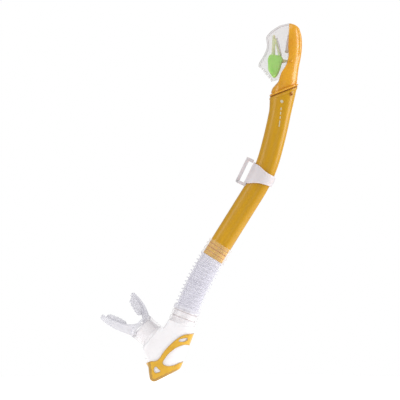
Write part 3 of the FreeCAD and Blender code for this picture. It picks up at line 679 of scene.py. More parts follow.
head = {
    "sides": 120,
    "arcShare": 0.7,
    "front": [(-8, -13.9), (2.3, -13.6), (8.7, -8.6), (16.3, -7.2), (21.6, -6.4), (30.5, -2.4), (35.8, -1.3),
              (44, -1.4), (51.9, -3.2), (64.9, -4.6), (78.1, -5.9), (79.4, -5.6)],
    "back": [(-8, 14.2), (9.3, 13.9), (19.5, 13.2), (30.7, 12.9), (40.4, 13.3), (50.8, 13.2), (60, 12.0),
             (67.3, 10.2), (72.5, 7.9), (75.6, 6.2), (78.0, 3.0), (79.2, -0.6), (79.6, -4.4)],
    "oval": [(4, -14.0), (9.7, -18.0), (14, -24.0), (20, -30.2), (24.3, -32.8), (28.5, -33.2), (35.7, -30.4),
             (44.3, -27.6), (50.3, -27.3), (55, -28.6), (59.6, -29.6), (65, -27.0), (69.5, -23.1),
             (75, -16.6), (77.3, -11.6), (79, -7.4), (79.6, -5.7)],
    "deep": [(-8, 12.0), (0, 12.1), (9, 12.4), (20, 12.7), (40, 13.0), (55, 12.9), (62, 12.3), (68, 10.9),
             (73, 8.7), (76.5, 6.1), (78.6, 3.5), (79.6, 1.2)],
    "top": 79.5,
    "gasket": 1.4,
    "jointReach": (13.9, 13.6),
    "flatFrom": 7.0,
    "flatRun": 9.0,
    "spigot": ((-4.5, -3.0), (-4.0, -2.6), (-0.05, -2.6)),
    "bead": ((0.0, 0.2), (0.3, 0.9), (0.8, 1.4), (1.4, 1.55), (2.0, 1.4), (2.5, 0.9), (2.8, 0.1),
             (3.1, -0.45), (3.6, -0.45)),
    "beadEnd": ((3.9, 0.98, 0.0), (4.2, 0.96, 0.1)),
    "levelRun": 15.4,
    "wallFrom": 21.4,
    "wallStep": 1.6,
    "domeFrom": 66,
    "spigotWall": 4.4,
    "spigotRoof": 6,
    "pivot": (2.9, 36.1),
    "pinRecess": (1.9, 4.0, 12.1),
    "pinHead": (1.35, 1.1, 11.4, 1.0),
    "grooveAt": 0.42,
    "grooveFrom": 36,
    "grooveFade": (14, 8),
    "grooveDeep": 1.0,
    "grooveWide": 0.05,
}


def ovalAt(z):
    # middle and half length of the head's whole oval section at a height
    reach = follow(head["oval"], z)
    back = follow(head["back"], z)
    return (back + reach) / 2, (back - reach) / 2, follow(head["deep"], z)


def housingStation(height, shear=0.0, grow=0.0):
    front = follow(head["front"], height - shear * slope * head["jointReach"][0])
    back = follow(head["back"], height + shear * slope * head["jointReach"][1])
    blend = ease((height - head["flatFrom"]) / head["flatRun"])

    def station(turn):
        share = abs(turn) / math.pi
        side = math.copysign(1.0, turn)
        half = (back - front) / 2
        x = (back + front) / 2 + (half + grow) * math.cos(turn)
        y = (follow(head["deep"], height) + grow) * math.sin(turn)
        if blend > 0:
            middle, reach, deep = ovalAt(height)
            cosine = min(max((front - middle) / reach, -1.0), 1.0)
            seam = math.acos(cosine)
            if share < head["arcShare"]:
                part = share / head["arcShare"]
                angle = seam * part
                aside = (part - head["grooveAt"]) / head["grooveWide"]
                groove = math.exp(-(aside**2)) * head["grooveDeep"]
                rise, fade = head["grooveFade"]
                groove *= ease((height - head["grooveFrom"]) / rise) * ease((head["top"] - height) / fade)
                flatX = middle + (reach + grow - groove) * math.cos(angle)
                flatY = side * (deep + grow - groove) * math.sin(angle)
            else:
                part = (share - head["arcShare"]) / (1 - head["arcShare"])
                flatX = front
                flatY = side * deep * math.sin(seam) * (1 - part)
            x += (flatX - x) * blend
            y += (flatY - y) * blend
        return Vector((x, y, height + shear * slope * x))

    return station


def makeHousing():
    bm = startMesh()
    gasket = head["gasket"]
    stations = [housingStation(gasket + rise, 1.0, grow) for rise, grow in head["spigot"] + head["bead"]]
    stations += [housingStation(gasket + rise, shear, grow) for rise, shear, grow in head["beadEnd"]]
    beadTop, shear, _ = head["beadEnd"][-1]
    for index in range(1, 9):
        share = index / 8
        height = gasket + beadTop + share * head["levelRun"]
        stations.append(housingStation(height, shear * (1 - ease(share))))
    height = gasket + head["wallFrom"]
    while height < head["domeFrom"]:
        stations.append(housingStation(height))
        height += head["wallStep"]
    steps = 16
    for index in range(steps + 1):
        share = math.sin(index / steps * math.pi / 2)
        stations.append(housingStation(head["domeFrom"] + (head["top"] - head["domeFrom"]) * share))
    first, last = loft(bm, stations, head["sides"])
    fillRing(bm, last)
    # the spigot is hollow: its end is closed up the neck
    inner = [
        housingStation(gasket + head["spigot"][0][0], 1.0, -head["spigotWall"]),
        housingStation(gasket + head["spigotRoof"], 0.5, -head["spigotWall"]),
    ]
    low, high = loft(bm, inner, head["sides"])
    bmesh.ops.bridge_loops(bm, edges=first + low)
    fillRing(bm, high)
    piece = finishMesh("valveHousing", bm, headAt, sharp=50)
    # recess round the pivot pin
    bm = bmesh.new()
    radius, depth, start = head["pinRecess"]
    for side in (-1, 1):
        rod(bm, radius, depth, headAt @ pivotSide(side, start), 28)
    carve(piece, bm, sharp=50)
    return dress(piece, orangeShell, "barrel", "orange_shell", "valve_housing")


def pivotSide(side, start):
    # a frame on the pivot's line that looks out of one side of the head
    x, z = head["pivot"]
    return Matrix.Translation((x, side * start, z)) @ Matrix.Rotation(math.radians(-90 * side), 4, "X")


def makePinHeads():
    bm = startMesh()
    radius, height, start, topRadius = head["pinHead"]
    for side in (-1, 1):
        rod(bm, radius, height, pivotSide(side, start), 28, topRadius)
    piece = finishMesh("pinHeads", bm, headAt)
    return dress(piece, orangeShell, "barrel", "orange_shell")


seal = {
    "profile": ((0.4, -2.3), (0.4, 0.1), (0.55, 0.45), (1.1, 0.45), (1.3, 0.1), (1.3, -2.3)),
}


def makeSeal():
    bm = startMesh()

    def ring(height, grow):
        def station(turn):
            x = (barrel["flare"][0] + grow) * math.cos(turn)
            y = (barrel["flare"][1] + grow) * math.sin(turn)
            return Vector((x, y, height + slope * x))

        return station

    loft(bm, [ring(height, grow) for height, grow in seal["profile"]], 72, shut=True)
    piece = finishMesh("housingSeal", bm, headAt)
    return dress(piece, sealRing, "barrel", "seal_ring", "housing_seal")


cap = {
    "columns": 84,
    "rows": 116,
    "bottom": 9.9,
    "ventTop": 24.3,
    "ventReach": (-31.9, -15.8),
    "wall": 1.5,
    "rowCurve": 1.7,
    "edgeBack": 0.15,
    "shoulder": (13.9, 4.0, 7.5),
    "slots": 4,
    "slotFirst": 3.6,
    "slotPitch": 4.4,
    "slotWide": 2.4,
    "slotDeep": 2.3,
}


def capPoint(u, v):
    rise = 1 - (1 - v) ** cap["rowCurve"]
    z = cap["bottom"] + (head["top"] - cap["bottom"]) * rise
    middle, reach, deep = ovalAt(z)
    edge = follow(head["front"], z) - cap["edgeBack"]
    shoulder, run, width = cap["shoulder"]
    if z < shoulder:
        edge = min(edge, cap["ventReach"][1] + (z - cap["bottom"]) / run * width)
    cosine = min(max((edge - middle) / reach, -1.0), 1.0)
    seam = math.acos(cosine)
    angle = math.pi - abs(u) * (math.pi - seam)
    x = middle + reach * math.cos(angle)
    y = math.copysign(deep * math.sin(angle), u)
    if z < cap["ventTop"]:
        share = (z - cap["bottom"]) / (cap["ventTop"] - cap["bottom"])
        x = max(x, cap["ventReach"][1] + (cap["ventReach"][0] - cap["ventReach"][1]) * share)
    return Vector((x, y, z))


def makeCap():
    bm = bmesh.new()
    bmesh.ops.create_grid(bm, x_segments=cap["columns"], y_segments=cap["rows"], size=1.0)
    for vert in bm.verts:
        vert.co = capPoint(vert.co.x, (vert.co.y + 1) / 2)
    start = Vector((cap["ventReach"][0], 0, cap["ventTop"]))
    end = Vector((cap["ventReach"][1], 0, cap["bottom"]))
    down = (end - start).normalized()
    windows = []
    for face in bm.faces:
        centre = face.calc_center_median()
        offset = centre - start
        reach = offset.dot(down)
        depth = offset.dot(Vector((-down.z, 0, down.x)))
        place = (reach - cap["slotFirst"]) / cap["slotPitch"]
        inSlot = 0 <= place < cap["slots"] and (place % 1) * cap["slotPitch"] < cap["slotWide"]
        if inSlot and abs(depth) < cap["slotDeep"]:
            windows.append(face)
    bmesh.ops.delete(bm, geom=windows, context="FACES")
    bmesh.ops.remove_doubles(bm, verts=bm.verts, dist=0.02)
    bmesh.ops.recalc_face_normals(bm, faces=bm.faces)
    outward = sum(face.normal.dot(face.calc_center_median() - Vector((-12, 0, 45))) for face in bm.faces)
    if outward < 0:
        bmesh.ops.reverse_faces(bm, faces=bm.faces)
    bmesh.ops.solidify(bm, geom=bm.faces[:], thickness=cap["wall"])
    piece = finishMesh("floatCap", bm, headAt, sharp=50)
    return dress(piece, clearCap, "barrel", "clear_cap", "float_cap")


foam = {
    "corners": [(-23.7, 34.0), (-23.6, 38.6), (-21.6, 40.9), (-9.2, 40.9), (-6.4, 37.0), (-8.2, 25.0),
                (-9.8, 18.2), (-12.9, 14.2), (-15.8, 16.0), (-21.6, 22.8)],
    "half": 7.5,
    "round": 2.4,
}


def makeFloat():
    bm = bmesh.new()
    outline(bm, foam["corners"], foam["half"])
    rims = [edge for edge in bm.edges if abs(edge.verts[0].co.y - edge.verts[1].co.y) < 0.1]
    soften(bm, foam["round"], 5, edges=rims)
    crosswise = [
        edge for edge in bm.edges
        if abs((edge.verts[0].co - edge.verts[1].co).normalized().y) > 0.9 and edge.calc_length() > 4
    ]
    soften(bm, 1.2, 3, edges=crosswise)
    bmesh.ops.triangulate(bm, faces=[face for face in bm.faces if len(face.verts) > 4])
    piece = finishMesh("floatFoam", bm, headAt, sharp=60)
    melt(piece, 0.6, 6)
    return dress(piece, limeFloat, "float", "green_float", "float")


lever = {
    "swing": 22.0,
    "halfWide": 2.6,
    "hub": (2.3, 4.6),
    "stem": ((-18.4, 40.0), (-21.1, 61.6)),
    "stemRadius": 2.2,
}


def makeLever():
    bm = bmesh.new()
    px, pz = head["pivot"]
    half = lever["halfWide"]
    hubRadius, hubHalf = lever["hub"]
    pivot = Matrix.Translation((px, 0, pz))
    shut = pivot @ Matrix.Rotation(math.radians(-lever["swing"]), 4, "Y") @ Matrix.Translation((-px, 0, -pz))
    hub = pivot @ Matrix.Translation((0, hubHalf, 0)) @ lying
    rod(bm, hubRadius, 2 * hubHalf, hub, 32)
    # the second block is the arm to the float, the others are the flap's plate and what carries it
    block(bm, (-9.6, -half, 36.9), (3.2, half, 39.1), shut)
    block(bm, (-12.6, -half, -1.0), (0.0, half, 1.4), pivot)
    block(bm, (-9.6, -3.4, 41.0), (-7.5, 3.4, 66.0), shut)
    block(bm, (-9.6, -half, 36.9), (-7.5, half, 45.0), shut)
    low, high = (Vector((x, 0, z)) for x, z in lever["stem"])
    reach = high - low
    stem = Matrix.Translation(low) @ reach.to_track_quat("Z", "Y").to_matrix().to_4x4()
    rod(bm, lever["stemRadius"], reach.length, stem, 28, lever["stemRadius"] * 0.75)
    bmesh.ops.create_uvsphere(
        bm, u_segments=24, v_segments=14, radius=lever["stemRadius"] * 0.85, matrix=Matrix.Translation(high)
    )
    piece = finishMesh("floatLever", bm, headAt)
    melt(piece, 0.35, 3)
    return dress(piece, paleLever, "float", "green_lever", "float_lever")


makeHousing()
makePinHeads()
makeSeal()
makeCap()
makeFloat()
makeLever()
print("valve head made")


# keeper band and its strap gate

keeper = {
    "steps": 72,
    "gap": 0.35,
    "wall": 2.3,
    "top": [(-16, 14.6), (-10, 14.2), (-5, 12.4), (0, 10.4), (5, 9.2), (12, 8.7), (16, 8.7)],
    "bottom": [(-16, -13.2), (-11, -12.0), (-6, -8.6), (-1, -5.9), (4, -4.5), (12, -3.1), (16, -2.9)],
    "slotInner": 15.8,
    "slotOuter": 21.4,
    "slotHalf": 12.2,
    "railHalf": 4.2,
    "barWide": 4.0,
    "hinge": (-23.4, -13.8),
    "knuckle": 2.0,
    "bore": (0.92, 10.0),
    "notch": ((-27, -2.15, -17), (-20.7, 2.15, -11)),
}
gate = {
    "half": 1.85,
    "face": (-12.0, 16.3),
    "recess": 0.5,
    "armLow": 12.6,
    "armEnd": -16.4,
    "bore": (0.96, 10.0),
}


def bendPoint(x, y, rise):
    # a point beside the tube, rise up from the keeper along the bend
    tilt = line["keeperTilt"] - math.degrees(rise / line["bendRadius"])
    return bendCentre + across(tilt) * (line["bendRadius"] + x) + yAxis * y


def hingeBar(bm, radius, half, sides):
    # a round bar on the gate's hinge line, half to each side
    x, z = keeper["hinge"]
    at = keeperAt @ Matrix.Translation((x, half, z)) @ lying
    rod(bm, radius, 2 * half, at, sides)


def makeKeeper():
    bm = startMesh()

    def section(turnRound):
        cosine, sine = math.cos(turnRound), math.sin(turnRound)

        def station(turn):
            # the ring's own turn runs round the band's section
            out = math.cos(turn)
            rise = math.sin(turn)
            share = (abs(out) ** 4 + abs(rise) ** 4) ** -0.25
            grow = keeper["gap"] + keeper["wall"] * (0.5 + 0.5 * out * share)
            x = (barrel["half"][0] + grow) * cosine
            y = (barrel["half"][1] + grow) * sine
            low = follow(keeper["bottom"], x)
            high = follow(keeper["top"], x)
            level = (low + high) / 2 + (high - low) / 2 * rise * share
            return bendPoint(x, y, level)

        return station

    turns = [2 * math.pi * index / keeper["steps"] for index in range(keeper["steps"])]
    loft(bm, [section(turn) for turn in turns], 28, shut=True)
    half = keeper["railHalf"]
    block(bm, (-keeper["slotInner"], -half, -13.0), (-13.2, half, 14.3), keeperAt)
    block(bm, (keeper["hinge"][0], -half, -15.7), (-12.4, half, -keeper["slotHalf"]), keeperAt)
    hingeBar(bm, keeper["knuckle"], half, 32)
    piece = finishMesh("keeperBand", bm)
    melt(piece, 0.42, 7)
    bm = bmesh.new()
    block(bm, *keeper["notch"], keeperAt)
    hingeBar(bm, *keeper["bore"], 24)
    carve(piece, bm, sharp=50)
    return dress(piece, whiteKeeper, "keeper", "keeper_white", "keeper_band")


def makeGate():
    bm = bmesh.new()
    half = gate["half"]
    low, high = gate["face"]
    inner = -keeper["slotOuter"]
    outer = inner - keeper["barWide"]
    block(bm, (outer, -half, low), (inner, half, high), keeperAt)
    block(bm, (outer, -half, keeper["hinge"][1]), (inner - gate["recess"], half, low + 1), keeperAt)
    block(bm, (inner - gate["recess"], -half, gate["armLow"]), (gate["armEnd"], half, high), keeperAt)
    hingeBar(bm, keeper["knuckle"], half, 32)
    piece = finishMesh("strapGate", bm)
    melt(piece, 0.3, 4)
    bm = bmesh.new()
    hingeBar(bm, *gate["bore"], 24)
    carve(piece, bm, sharp=50)
    return dress(piece, whiteKeeper, "gate", "keeper_white", "strap_gate")


makeKeeper()
makeGate()
print("keeper made")


# ribbed hose in two halves that meet where the two bends meet

hose = {
    "sides": 56,
    "outer": 12.7,
    "bore": 11.0,
    "fin": 15.3,
    "finThick": 1.3,
    "fins": 13,
    "cuffUp": 18.5,
    "cuffWall": 2.2,
    "cuffDown": 18.0,
    "collar": 15.5,
    "fit": 0.08,
    "waves": 3,
    "waveHigh": 0.5,
    "waveStep": 0.45,
    "spigot": 13.1,
    "grooves": ((3.4, 0), (3.9, 1.3), (4.9, 1.3), (5.4, 0), (10.4, 0), (10.9, 1.3), (11.9, 1.3), (12.4, 0)),
    "lowerEnd": ((17.0, 0), (17.7, 0.3), (18.0, 0.8)),
    "grooveShadeSpan": (-16, -3),
    "grooveShadeFrom": 13.8,
}
hoseRun = math.radians(line["barrelTilt"] - line["portTilt"]) * line["hoseRadius"]
splitRun = math.radians(line["barrelTilt"] - line["splitTilt"]) * line["hoseRadius"]


def hoseStation(run, wide, deep=None):
    def station(turn):
        return hosePoint(run, wide * math.cos(turn), (deep or wide) * math.sin(turn))

    return station


def finStations(low, high):
    # outer rings over the fins between two runs
    pitch = (hoseRun - hose["finThick"]) / (hose["fins"] + 1)
    made = []
    for index in range(hose["fins"]):
        at = pitch * (index + 1)
        if not low < at < high:
            continue
        outer, tip, thick = hose["outer"], hose["fin"], hose["finThick"]
        flank = ((-0.5, outer), (-0.1, outer + 0.25), (0.1, tip - 0.3), (0.35, tip))
        made += [hoseStation(at + shift, wide) for shift, wide in flank]
        made += [hoseStation(at + thick - shift, wide) for shift, wide in reversed(flank)]
    return made


def clearCuff(piece, point, beyond):
    # the cuff past the point is clearer than the ribbed run
    piece.data.materials.append(cuffSilicone)
    for polygon in piece.data.polygons:
        if (polygon.center / mm - point).dot(beyond) > 0:
            polygon.material_index = 1


def makeUpperHose():
    bm = startMesh()
    wide = barrel["half"][0] + hose["cuffWall"]
    deep = barrel["half"][1] + hose["cuffWall"]
    up = hose["cuffUp"]
    stations = [hoseStation(-up, wide - 1.5, deep - 1.5), hoseStation(-up, wide - 0.5, deep - 0.5),
                hoseStation(-up + 0.6, wide, deep)]
    run = -up + 1.4
    while run < 0.8:
        # three raised bands round the cuff, with grooves between them
        wave = hose["waveHigh"] * math.cos((run + up) / up * math.pi * (2 * hose["waves"]))
        stations.append(hoseStation(run, wide - 0.25 + wave, deep - 0.25 + wave))
        run += hose["waveStep"]
    stations += [hoseStation(1.5, wide - 0.4, deep - 0.2), hoseStation(2.2, 14.0, 13.0),
                 hoseStation(2.8, hose["outer"])]
    stations += finStations(3.2, splitRun)
    stations += [hoseStation(splitRun, hose["outer"]), hoseStation(splitRun, hose["bore"]),
                 hoseStation(splitRun / 2, hose["bore"]), hoseStation(1.0, hose["bore"]),
                 hoseStation(0.1, hose["bore"] - 0.3, 10.4)]
    fit = hose["fit"]
    stations += [hoseStation(-0.05, barrel["half"][0] + fit, barrel["half"][1] + fit),
                 hoseStation(-up, barrel["half"][0] + fit, barrel["half"][1] + fit)]
    loft(bm, stations, hose["sides"], shut=True)
    piece = finishMesh("upperHose", bm, sharp=45)
    dress(piece, hoseSilicone, None, "clear_silicone", "flex_hose")
    clearCuff(piece, barrelEnd, along(line["barrelTilt"]))
    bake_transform(piece, "barrel", "hose", start=barrelEnd * mm, end=splitPoint * mm)
    return piece


def makeLowerHose():
    bm = startMesh()
    collar = hose["collar"]
    down = hoseRun + hose["cuffDown"]
    stations = [hoseStation(splitRun, hose["bore"]), hoseStation(splitRun, hose["outer"])]
    stations += finStations(splitRun, hoseRun - 2.0)
    stations += [hoseStation(hoseRun - 2.4, hose["outer"]), hoseStation(hoseRun - 2.0, 14.6),
                 hoseStation(hoseRun - 1.4, collar - 0.2), hoseStation(hoseRun - 0.8, collar)]
    fit = hose["spigot"] + hose["fit"]
    for at, inset in hose["grooves"] + hose["lowerEnd"]:
        stations.append(hoseStation(hoseRun + at, collar - inset))
    stations += [hoseStation(down, fit), hoseStation(hoseRun + 0.05, fit), hoseStation(hoseRun, 10.6),
                 hoseStation(hoseRun - 1.0, hose["bore"])]
    loft(bm, stations, hose["sides"], shut=True)
    piece = finishMesh("lowerHose", bm, sharp=45)
    dress(piece, hoseSilicone, None, "clear_silicone", "flex_hose")
    clearCuff(piece, portPoint - along(line["portTilt"]) * 2, -along(line["portTilt"]))
    piece.data.materials.append(grooveShade)
    low, high = hose["grooveShadeSpan"]
    # faces down in the cuff's two grooves take the grey: painted shade in the grooves
    for polygon in piece.data.polygons:
        at = portAt.inverted() @ (polygon.center / mm)
        if low < at.z < high and hose["grooveShadeFrom"] < math.hypot(at.x, at.y) < collar - 0.9:
            polygon.material_index = 2
    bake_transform(piece, "hose", "lower", start=splitPoint * mm, end=portPoint * mm)
    return piece


makeUpperHose()
makeLowerHose()
print("hose made")


# lower housing, its trim and the purge valve

shell = {
    "corners": [(-17.4, -31.2), (-14.8, -18.4), (15.0, -18.4), (16.4, -20.5), (16.4, -60.0), (15.8, -66.6),
                (-4.6, -88.9), (-7.2, -90.4), (-10.4, -89.2), (-18.6, -73.2), (-32.0, -60.6),
                (-20.8, -28.9)],
    "left": -34.5,
    "right": 16.3,
    "half": 15.3,
    "square": 3.2,
    "voxel": 0.75,
    "smoothing": 9,
    "hoseSpigot": (13.1, 20.0, -22.0),
    "mouthHub": (15.5, 24.0, 3.9),
    "mouthSpigot": (13.0, 42.9, 0.0),
    "purgeHub": (14.9, 26.0, 0.0),
    "hoseBore": (11.0, 57.1, -53.1),
    "mouthBore": (11.0, 49.0, 0.0),
    "purgeRoom": (13.55, 14.5, -4.0),
    "purgeHole": (9.5, 18.0, 6.0),
    "hollow": 12.4,
}


def makeShell():
    # makes the housing and hands on its skin as it was before boring, for the trim
    bm = bmesh.new()
    outline(bm, shell["corners"], 20)
    piece = finishMesh("lowerHousing", bm, portAt)
    # its faces roll over to the right and left edges
    bm = startMesh()
    middle = (shell["left"] + shell["right"]) / 2
    half = (shell["right"] - shell["left"]) / 2

    def column(height):
        def station(turn):
            cosine, sine = math.cos(turn), math.sin(turn)
            reach = (abs(cosine) ** shell["square"] + abs(sine) ** shell["square"]) ** (-1 / shell["square"])
            return portAt @ Vector((middle + half * cosine * reach, shell["half"] * sine * reach, height))

        return station

    low, high = loft(bm, [column(-100), column(-5)], 96)
    fillRing(bm, low)
    fillRing(bm, high)
    carve(piece, bm, "INTERSECT")
    bm = reopen(piece)
    drop(piece)
    bar(bm, portAt, shell["hoseSpigot"], 72)
    bar(bm, mouthAt, shell["mouthHub"], 72)
    bar(bm, mouthAt, shell["mouthSpigot"], 72)
    bar(bm, purgeAt, shell["purgeHub"], 72)
    piece = finishMesh("lowerHousing", bm)
    melt(piece, shell["voxel"], shell["smoothing"])
    skin = placed("shellSkin", piece.data.copy())
    bm = bmesh.new()
    bar(bm, portAt, shell["hoseBore"], 64)
    bar(bm, mouthAt, shell["mouthBore"], 64)
    bar(bm, purgeAt, shell["purgeRoom"], 72)
    bar(bm, purgeAt, shell["purgeHole"], 56)
    centre = Matrix.Translation(junction)
    bmesh.ops.create_uvsphere(bm, u_segments=40, v_segments=24, radius=shell["hollow"], matrix=centre)
    tool = finishMesh("boreTool", bm)
    melt(tool, 0.9, 1)
    carveWith(piece, tool, sharp=55)
    drop(tool)
    dress(piece, whiteShell, "lower", "white_shell", "lower_housing")
    return skin


trim = {
    "outer": [(19.0, -24.2), (14.0, -25.4), (7.3, -28.9), (0.6, -37.2), (-7.1, -53.7), (-11.2, -67.0),
              (-18.6, -71.6), (-22.0, -78.0), (-20.0, -94.0), (-6.0, -95.0), (8.0, -82.0), (20.0, -70.0),
              (20.0, -58.6), (14.6, -60.4), (8.4, -65.9), (1.4, -68.9), (-3.4, -68.0), (-3.2, -60.6),
              (1.4, -49.8), (8.4, -41.6), (14.0, -38.4), (19.5, -37.4)],
    "vent": [(-11.0, -75.6), (-9.2, -74.2), (-6.6, -75.6), (-3.4, -76.8), (-5.6, -79.8), (-8.2, -80.8)],
    "slit": [(4.2, -37.4), (8.6, -32.4), (12.9, -31.6), (11.6, -34.6), (8.0, -37.0)],
    "proud": 1.3,
    "under": 0.3,
    "rim": 0.45,
    "rimShadeAngle": 18,
    "purgeMouth": (13.2, 14.0, -11.0),
}


def curveSolid(name, loops, depth):
    # a flat plate with smooth outlines, holes included, drawn out to both sides
    shape = bpy.data.curves.new(name, "CURVE")
    shape.dimensions = "2D"
    shape.fill_mode = "BOTH"
    shape.resolution_u = 10
    for points in loops:
        spline = shape.splines.new("BEZIER")
        spline.bezier_points.add(len(points) - 1)
        for point, (x, z) in zip(spline.bezier_points, points):
            point.co = (x, z, 0)
            point.handle_left_type = "AUTO"
            point.handle_right_type = "AUTO"
        spline.use_cyclic_u = True
    shape.extrude = depth
    holder = placed(name, shape)
    bpy.context.view_layer.update()
    graph = bpy.context.evaluated_depsgraph_get()
    mesh = bpy.data.meshes.new_from_object(holder.evaluated_get(graph))
    bpy.data.objects.remove(holder)
    bpy.data.curves.remove(shape)
    bm = bmesh.new()
    bm.from_mesh(mesh)
    bpy.data.meshes.remove(mesh)
    bm.transform(lying)
    bmesh.ops.remove_doubles(bm, verts=bm.verts, dist=0.001)
    return bm


def grown(skin, name, distance):
    bm = reopen(skin)
    bm.normal_update()
    moves = [(vert, vert.normal * distance) for vert in bm.verts]
    for vert, move in moves:
        vert.co += move
    return finishMesh(name, bm)


def makeTrim(skin):
    piece = grown(skin, "purgeTrim", trim["proud"])
    plate = curveSolid("trimPlate", [trim["outer"], trim["vent"], trim["slit"]], 30)
    plate.transform(portAt)
    carve(piece, plate, "INTERSECT")
    core = grown(skin, "trimCore", -trim["under"])
    carveWith(piece, core)
    drop(core)
    drop(skin)
    mouth = bmesh.new()
    bar(mouth, purgeAt, trim["purgeMouth"], 72)
    carve(piece, mouth)
    bevel = piece.modifiers.new("edges", "BEVEL")
    bevel.width = trim["rim"] * mm
    bevel.segments = 3
    bevel.limit_method = "ANGLE"
    bevel.angle_limit = math.radians(50)
    applyAll(piece, 50)
    dress(piece, amberTrim, "lower", "amber_trim", "purge_trim")
    piece.data.materials.append(trimEdgeShade)
    bm = bmesh.new()
    bm.from_mesh(piece.data)
    sharp = [
        edge for edge in bm.edges
        if len(edge.link_faces) == 2 and edge.calc_face_angle(0) > math.radians(trim["rimShadeAngle"])
    ]
    # the rims are a darker gold than the faces: painted shade on the trim's rounded edges
    rims = {face for edge in sharp for vert in edge.verts for face in vert.link_faces}
    for face in {face for rim in rims for vert in rim.verts for face in vert.link_faces}:
        face.material_index = 1
    bm.to_mesh(piece.data)
    bm.free()
    return piece


makeTrim(makeShell())
print("lower housing made")


# mouthpiece

bite = {
    "neck": ((28.5, 13.2), (28.5, 14.8), (29.0, 15.5), (31.4, 15.6), (32.0, 15.0), (33.4, 15.0),
             (34.0, 15.7), (39.0, 15.5), (44.0, 15.8), (47.5, 16.3), (49.0, 12.0), (46.0, 10.5),
             (43.3, 10.5), (43.2, 13.2)),
    "bore": (10.45, 40.0, 43.2),
    "clearBelow": 45.2,
    "half": 29.5,
    "tip": 84.5,
    "back": 45.5,
    "flangeThick": 2.6,
    "flangeHigh": 13.0,
    "wingHigh": 6.4,
    "curl": 2.2,
    "padMiddle": (18.6, 69.5),
    "padHalf": (2.5, 5.3, 12.4),
    "padLean": 22.0,
    "padSquare": 3.4,
    "webReach": 4.6,
    "ribRadius": 1.0,
    "ribs": 5,
}


def makeMouthpiece():
    bm = startMesh()
    loft(bm, turned(bite["neck"]), 64, shut=True)

    grid = bmesh.ops.create_grid(bm, x_segments=72, y_segments=24, size=1.0)["verts"]
    depth = bite["tip"] - bite["back"] - bite["flangeThick"] / 2
    reach = bite["half"] - bite["flangeThick"] / 2
    for vert in grid:
        u, v = vert.co.x, vert.co.y
        share = abs(u) ** bite["curl"]
        spread = (math.sqrt(1 - (1 - share) ** 2) + share ** 0.435) / 2
        x = math.copysign(reach * spread, u)
        z = bite["back"] + bite["flangeThick"] / 2 + depth * share
        # tall at the lips, slender along the wings, with round tips
        tall = bite["wingHigh"] + (bite["flangeHigh"] - bite["wingHigh"]) * ease(1 - abs(u) * 1.45)
        tall *= math.sqrt(max(1 - abs(u) ** 5, 0.0))
        vert.co = Vector((x * (1 - 0.03 * v * v), v * tall, z - 0.8 * v * v))
    faces = list({face for vert in grid for face in vert.link_faces})
    bmesh.ops.recalc_face_normals(bm, faces=faces)
    bmesh.ops.solidify(bm, geom=faces, thickness=bite["flangeThick"])

    for side in (-1, 1):
        x, z = bite["padMiddle"]
        size = bite["padHalf"]
        square = bite["padSquare"]
        lean = Matrix.Rotation(math.radians(side * bite["padLean"]), 4, "Y")
        pad = Matrix.Translation((side * x, 0, z)) @ lean
        for vert in bmesh.ops.create_uvsphere(bm, u_segments=36, v_segments=22, radius=1.0)["verts"]:
            # a cushion with rounded ends
            share = sum(abs(value) ** square for value in vert.co) ** (-1 / square)
            vert.co = pad @ Vector([value * share * half for value, half in zip(vert.co, size)])
        low, high = sorted((0.0, side * bite["webReach"]))
        block(bm, (low, -2.4, -size[2] + 2.0), (high, 2.4, size[2] - 0.8), pad)
        for index in range(bite["ribs"]):
            share = index / (bite["ribs"] - 1) * 2 - 1
            half = size[1] * 0.8 * math.sqrt(1 - (share * 0.7) ** 2)
            for face in (-size[0] - 0.1, size[0] + 0.1):
                place = pad @ Matrix.Translation((face, half, share * (size[2] - 3.2)))
                rod(bm, bite["ribRadius"], 2 * half, place @ lying, 20)
    bore = bmesh.new()
    piece = finishMesh("biteMouthpiece", bm, biteAt)
    melt(piece, 0.48, 3)
    bar(bore, biteAt, bite["bore"], 56)
    carve(piece, bore, sharp=55)
    dress(piece, biteSilicone, "mouth", "clear_silicone", "mouthpiece")
    piece.data.materials.append(cuffSilicone)
    for polygon in piece.data.polygons:
        # the neck is clearer than the flange and the arms
        polygon.material_index = int((biteAt.inverted() @ (polygon.center / mm)).z < bite["clearBelow"])
    return piece


makeMouthpiece()
print("mouthpiece made")


# CAD nodes that stay as they are, with finishes of their own

kept = {
    "lock_pins": (orangeShell, "orange_shell"),
    "valve_seat": (sealSilicone, "seal_ring"),
    "float_pin": (steelPin, "pin_steel"),
    "gate_pin": (steelPin, "pin_steel"),
    "seal_flap": (sealSilicone, "seal_ring"),
    "purge_seat": (whiteShell, "white_shell"),
    "purge_diaphragm": (sealSilicone, "seal_ring"),
    "purge_cover": (whiteShell, "white_shell"),
}
for name, (material, slotName) in kept.items():
    nodes[name].data.materials.clear()
    nodes[name].data.materials.append(material)


# floor, light and camera

studio = {
    "centre": (-0.0532, 0.0, -0.0322),
    "floor": -0.266,
    "floorRadius": 0.5,
    "lens": 234.8,
    "distance": 3.0,
    "lights": [
        # name, place, size, watts
        ("keyLeft", (-1.3, -0.7, 0.45), (0.7, 1.3), 6.0),
        ("keyRight", (1.35, -0.15, 0.3), (0.8, 1.5), 16.0),
        ("frontSoft", (-0.3, -2.0, 0.9), (1.2, 1.2), 6.0),
        ("topSoft", (0.0, -0.2, 1.3), (1.0, 1.0), 3.5),
        ("rimBack", (0.3, 1.3, 0.3), (1.0, 1.0), 2.5),
    ],
    "worldSeen": 1.0,
    "worldLight": 0.42,
}


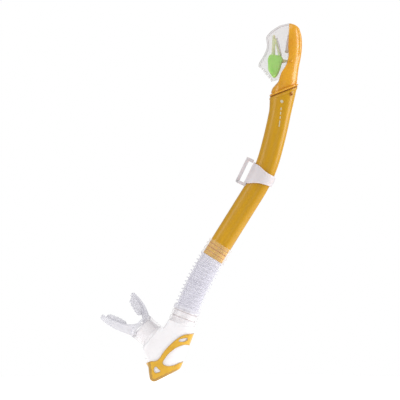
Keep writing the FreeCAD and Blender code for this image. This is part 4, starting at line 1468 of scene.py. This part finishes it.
def makeStudio():
    bm = bmesh.new()
    bmesh.ops.create_circle(
        bm, cap_ends=True, segments=96, radius=studio["floorRadius"],
        matrix=Matrix.Translation((studio["centre"][0], 0, studio["floor"])),
    )
    mesh = bpy.data.meshes.new("paleFloor")
    bm.to_mesh(mesh)
    bm.free()
    floor = placed("paleFloor", mesh)
    material, _, shader = newMaterial("paleFloor")
    setInputs(shader, {
        "Base Color": (0.9, 0.9, 0.9, 1), "Roughness": 0.8,
        "Emission Color": (1, 1, 1, 1), "Emission Strength": 0.45,
    })
    mesh.materials.append(material)

    for name, place, size, watts in studio["lights"]:
        lamp = bpy.data.lights.new(name, "AREA")
        lamp.shape = "RECTANGLE"
        lamp.size, lamp.size_y = size
        lamp.energy = watts
        holder = placed(name, lamp)
        holder.location = place
        aim = Vector(studio["centre"]) - Vector(place)
        holder.rotation_euler = aim.to_track_quat("-Z", "Y").to_euler()

    world = bpy.data.worlds.new("paleStudio")
    bpy.context.scene.world = world
    world.use_nodes = True
    tree = world.node_tree
    tree.nodes.clear()
    seen = addNode(tree, "Background", {"Strength": studio["worldSeen"], "Color": (1, 1, 1, 1)})
    glow = addNode(tree, "Background", {"Strength": studio["worldLight"], "Color": (0.97, 0.97, 1.0, 1)})
    path = addNode(tree, "LightPath")
    mix = addNode(tree, "MixShader", feeds={
        "Fac": path.outputs["Is Camera Ray"], 1: glow.outputs["Background"], 2: seen.outputs["Background"],
    })
    addNode(tree, "OutputWorld", feeds={"Surface": mix.outputs["Shader"]})

    camera = bpy.data.cameras.new("studioCamera")
    camera.lens = studio["lens"]
    camera.sensor_width = 36
    camera.clip_end = 50
    eye = placed("studioCamera", camera)
    x, _, z = studio["centre"]
    eye.location = (x, -studio["distance"], z)
    eye.rotation_euler = (math.radians(90), 0, 0)
    bpy.context.scene.camera = eye
    bpy.context.scene.view_settings.view_transform = "Standard"
    floor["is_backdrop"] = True


makeStudio()
print("studio made")

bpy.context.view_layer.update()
triangles = {
    piece.name: sum(len(p.vertices) - 2 for p in piece.data.polygons)
    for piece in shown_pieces() if piece.type == "MESH"
}
print("triangles:", sum(triangles.values()), "most:", max(triangles.items(), key=lambda item: item[1]))
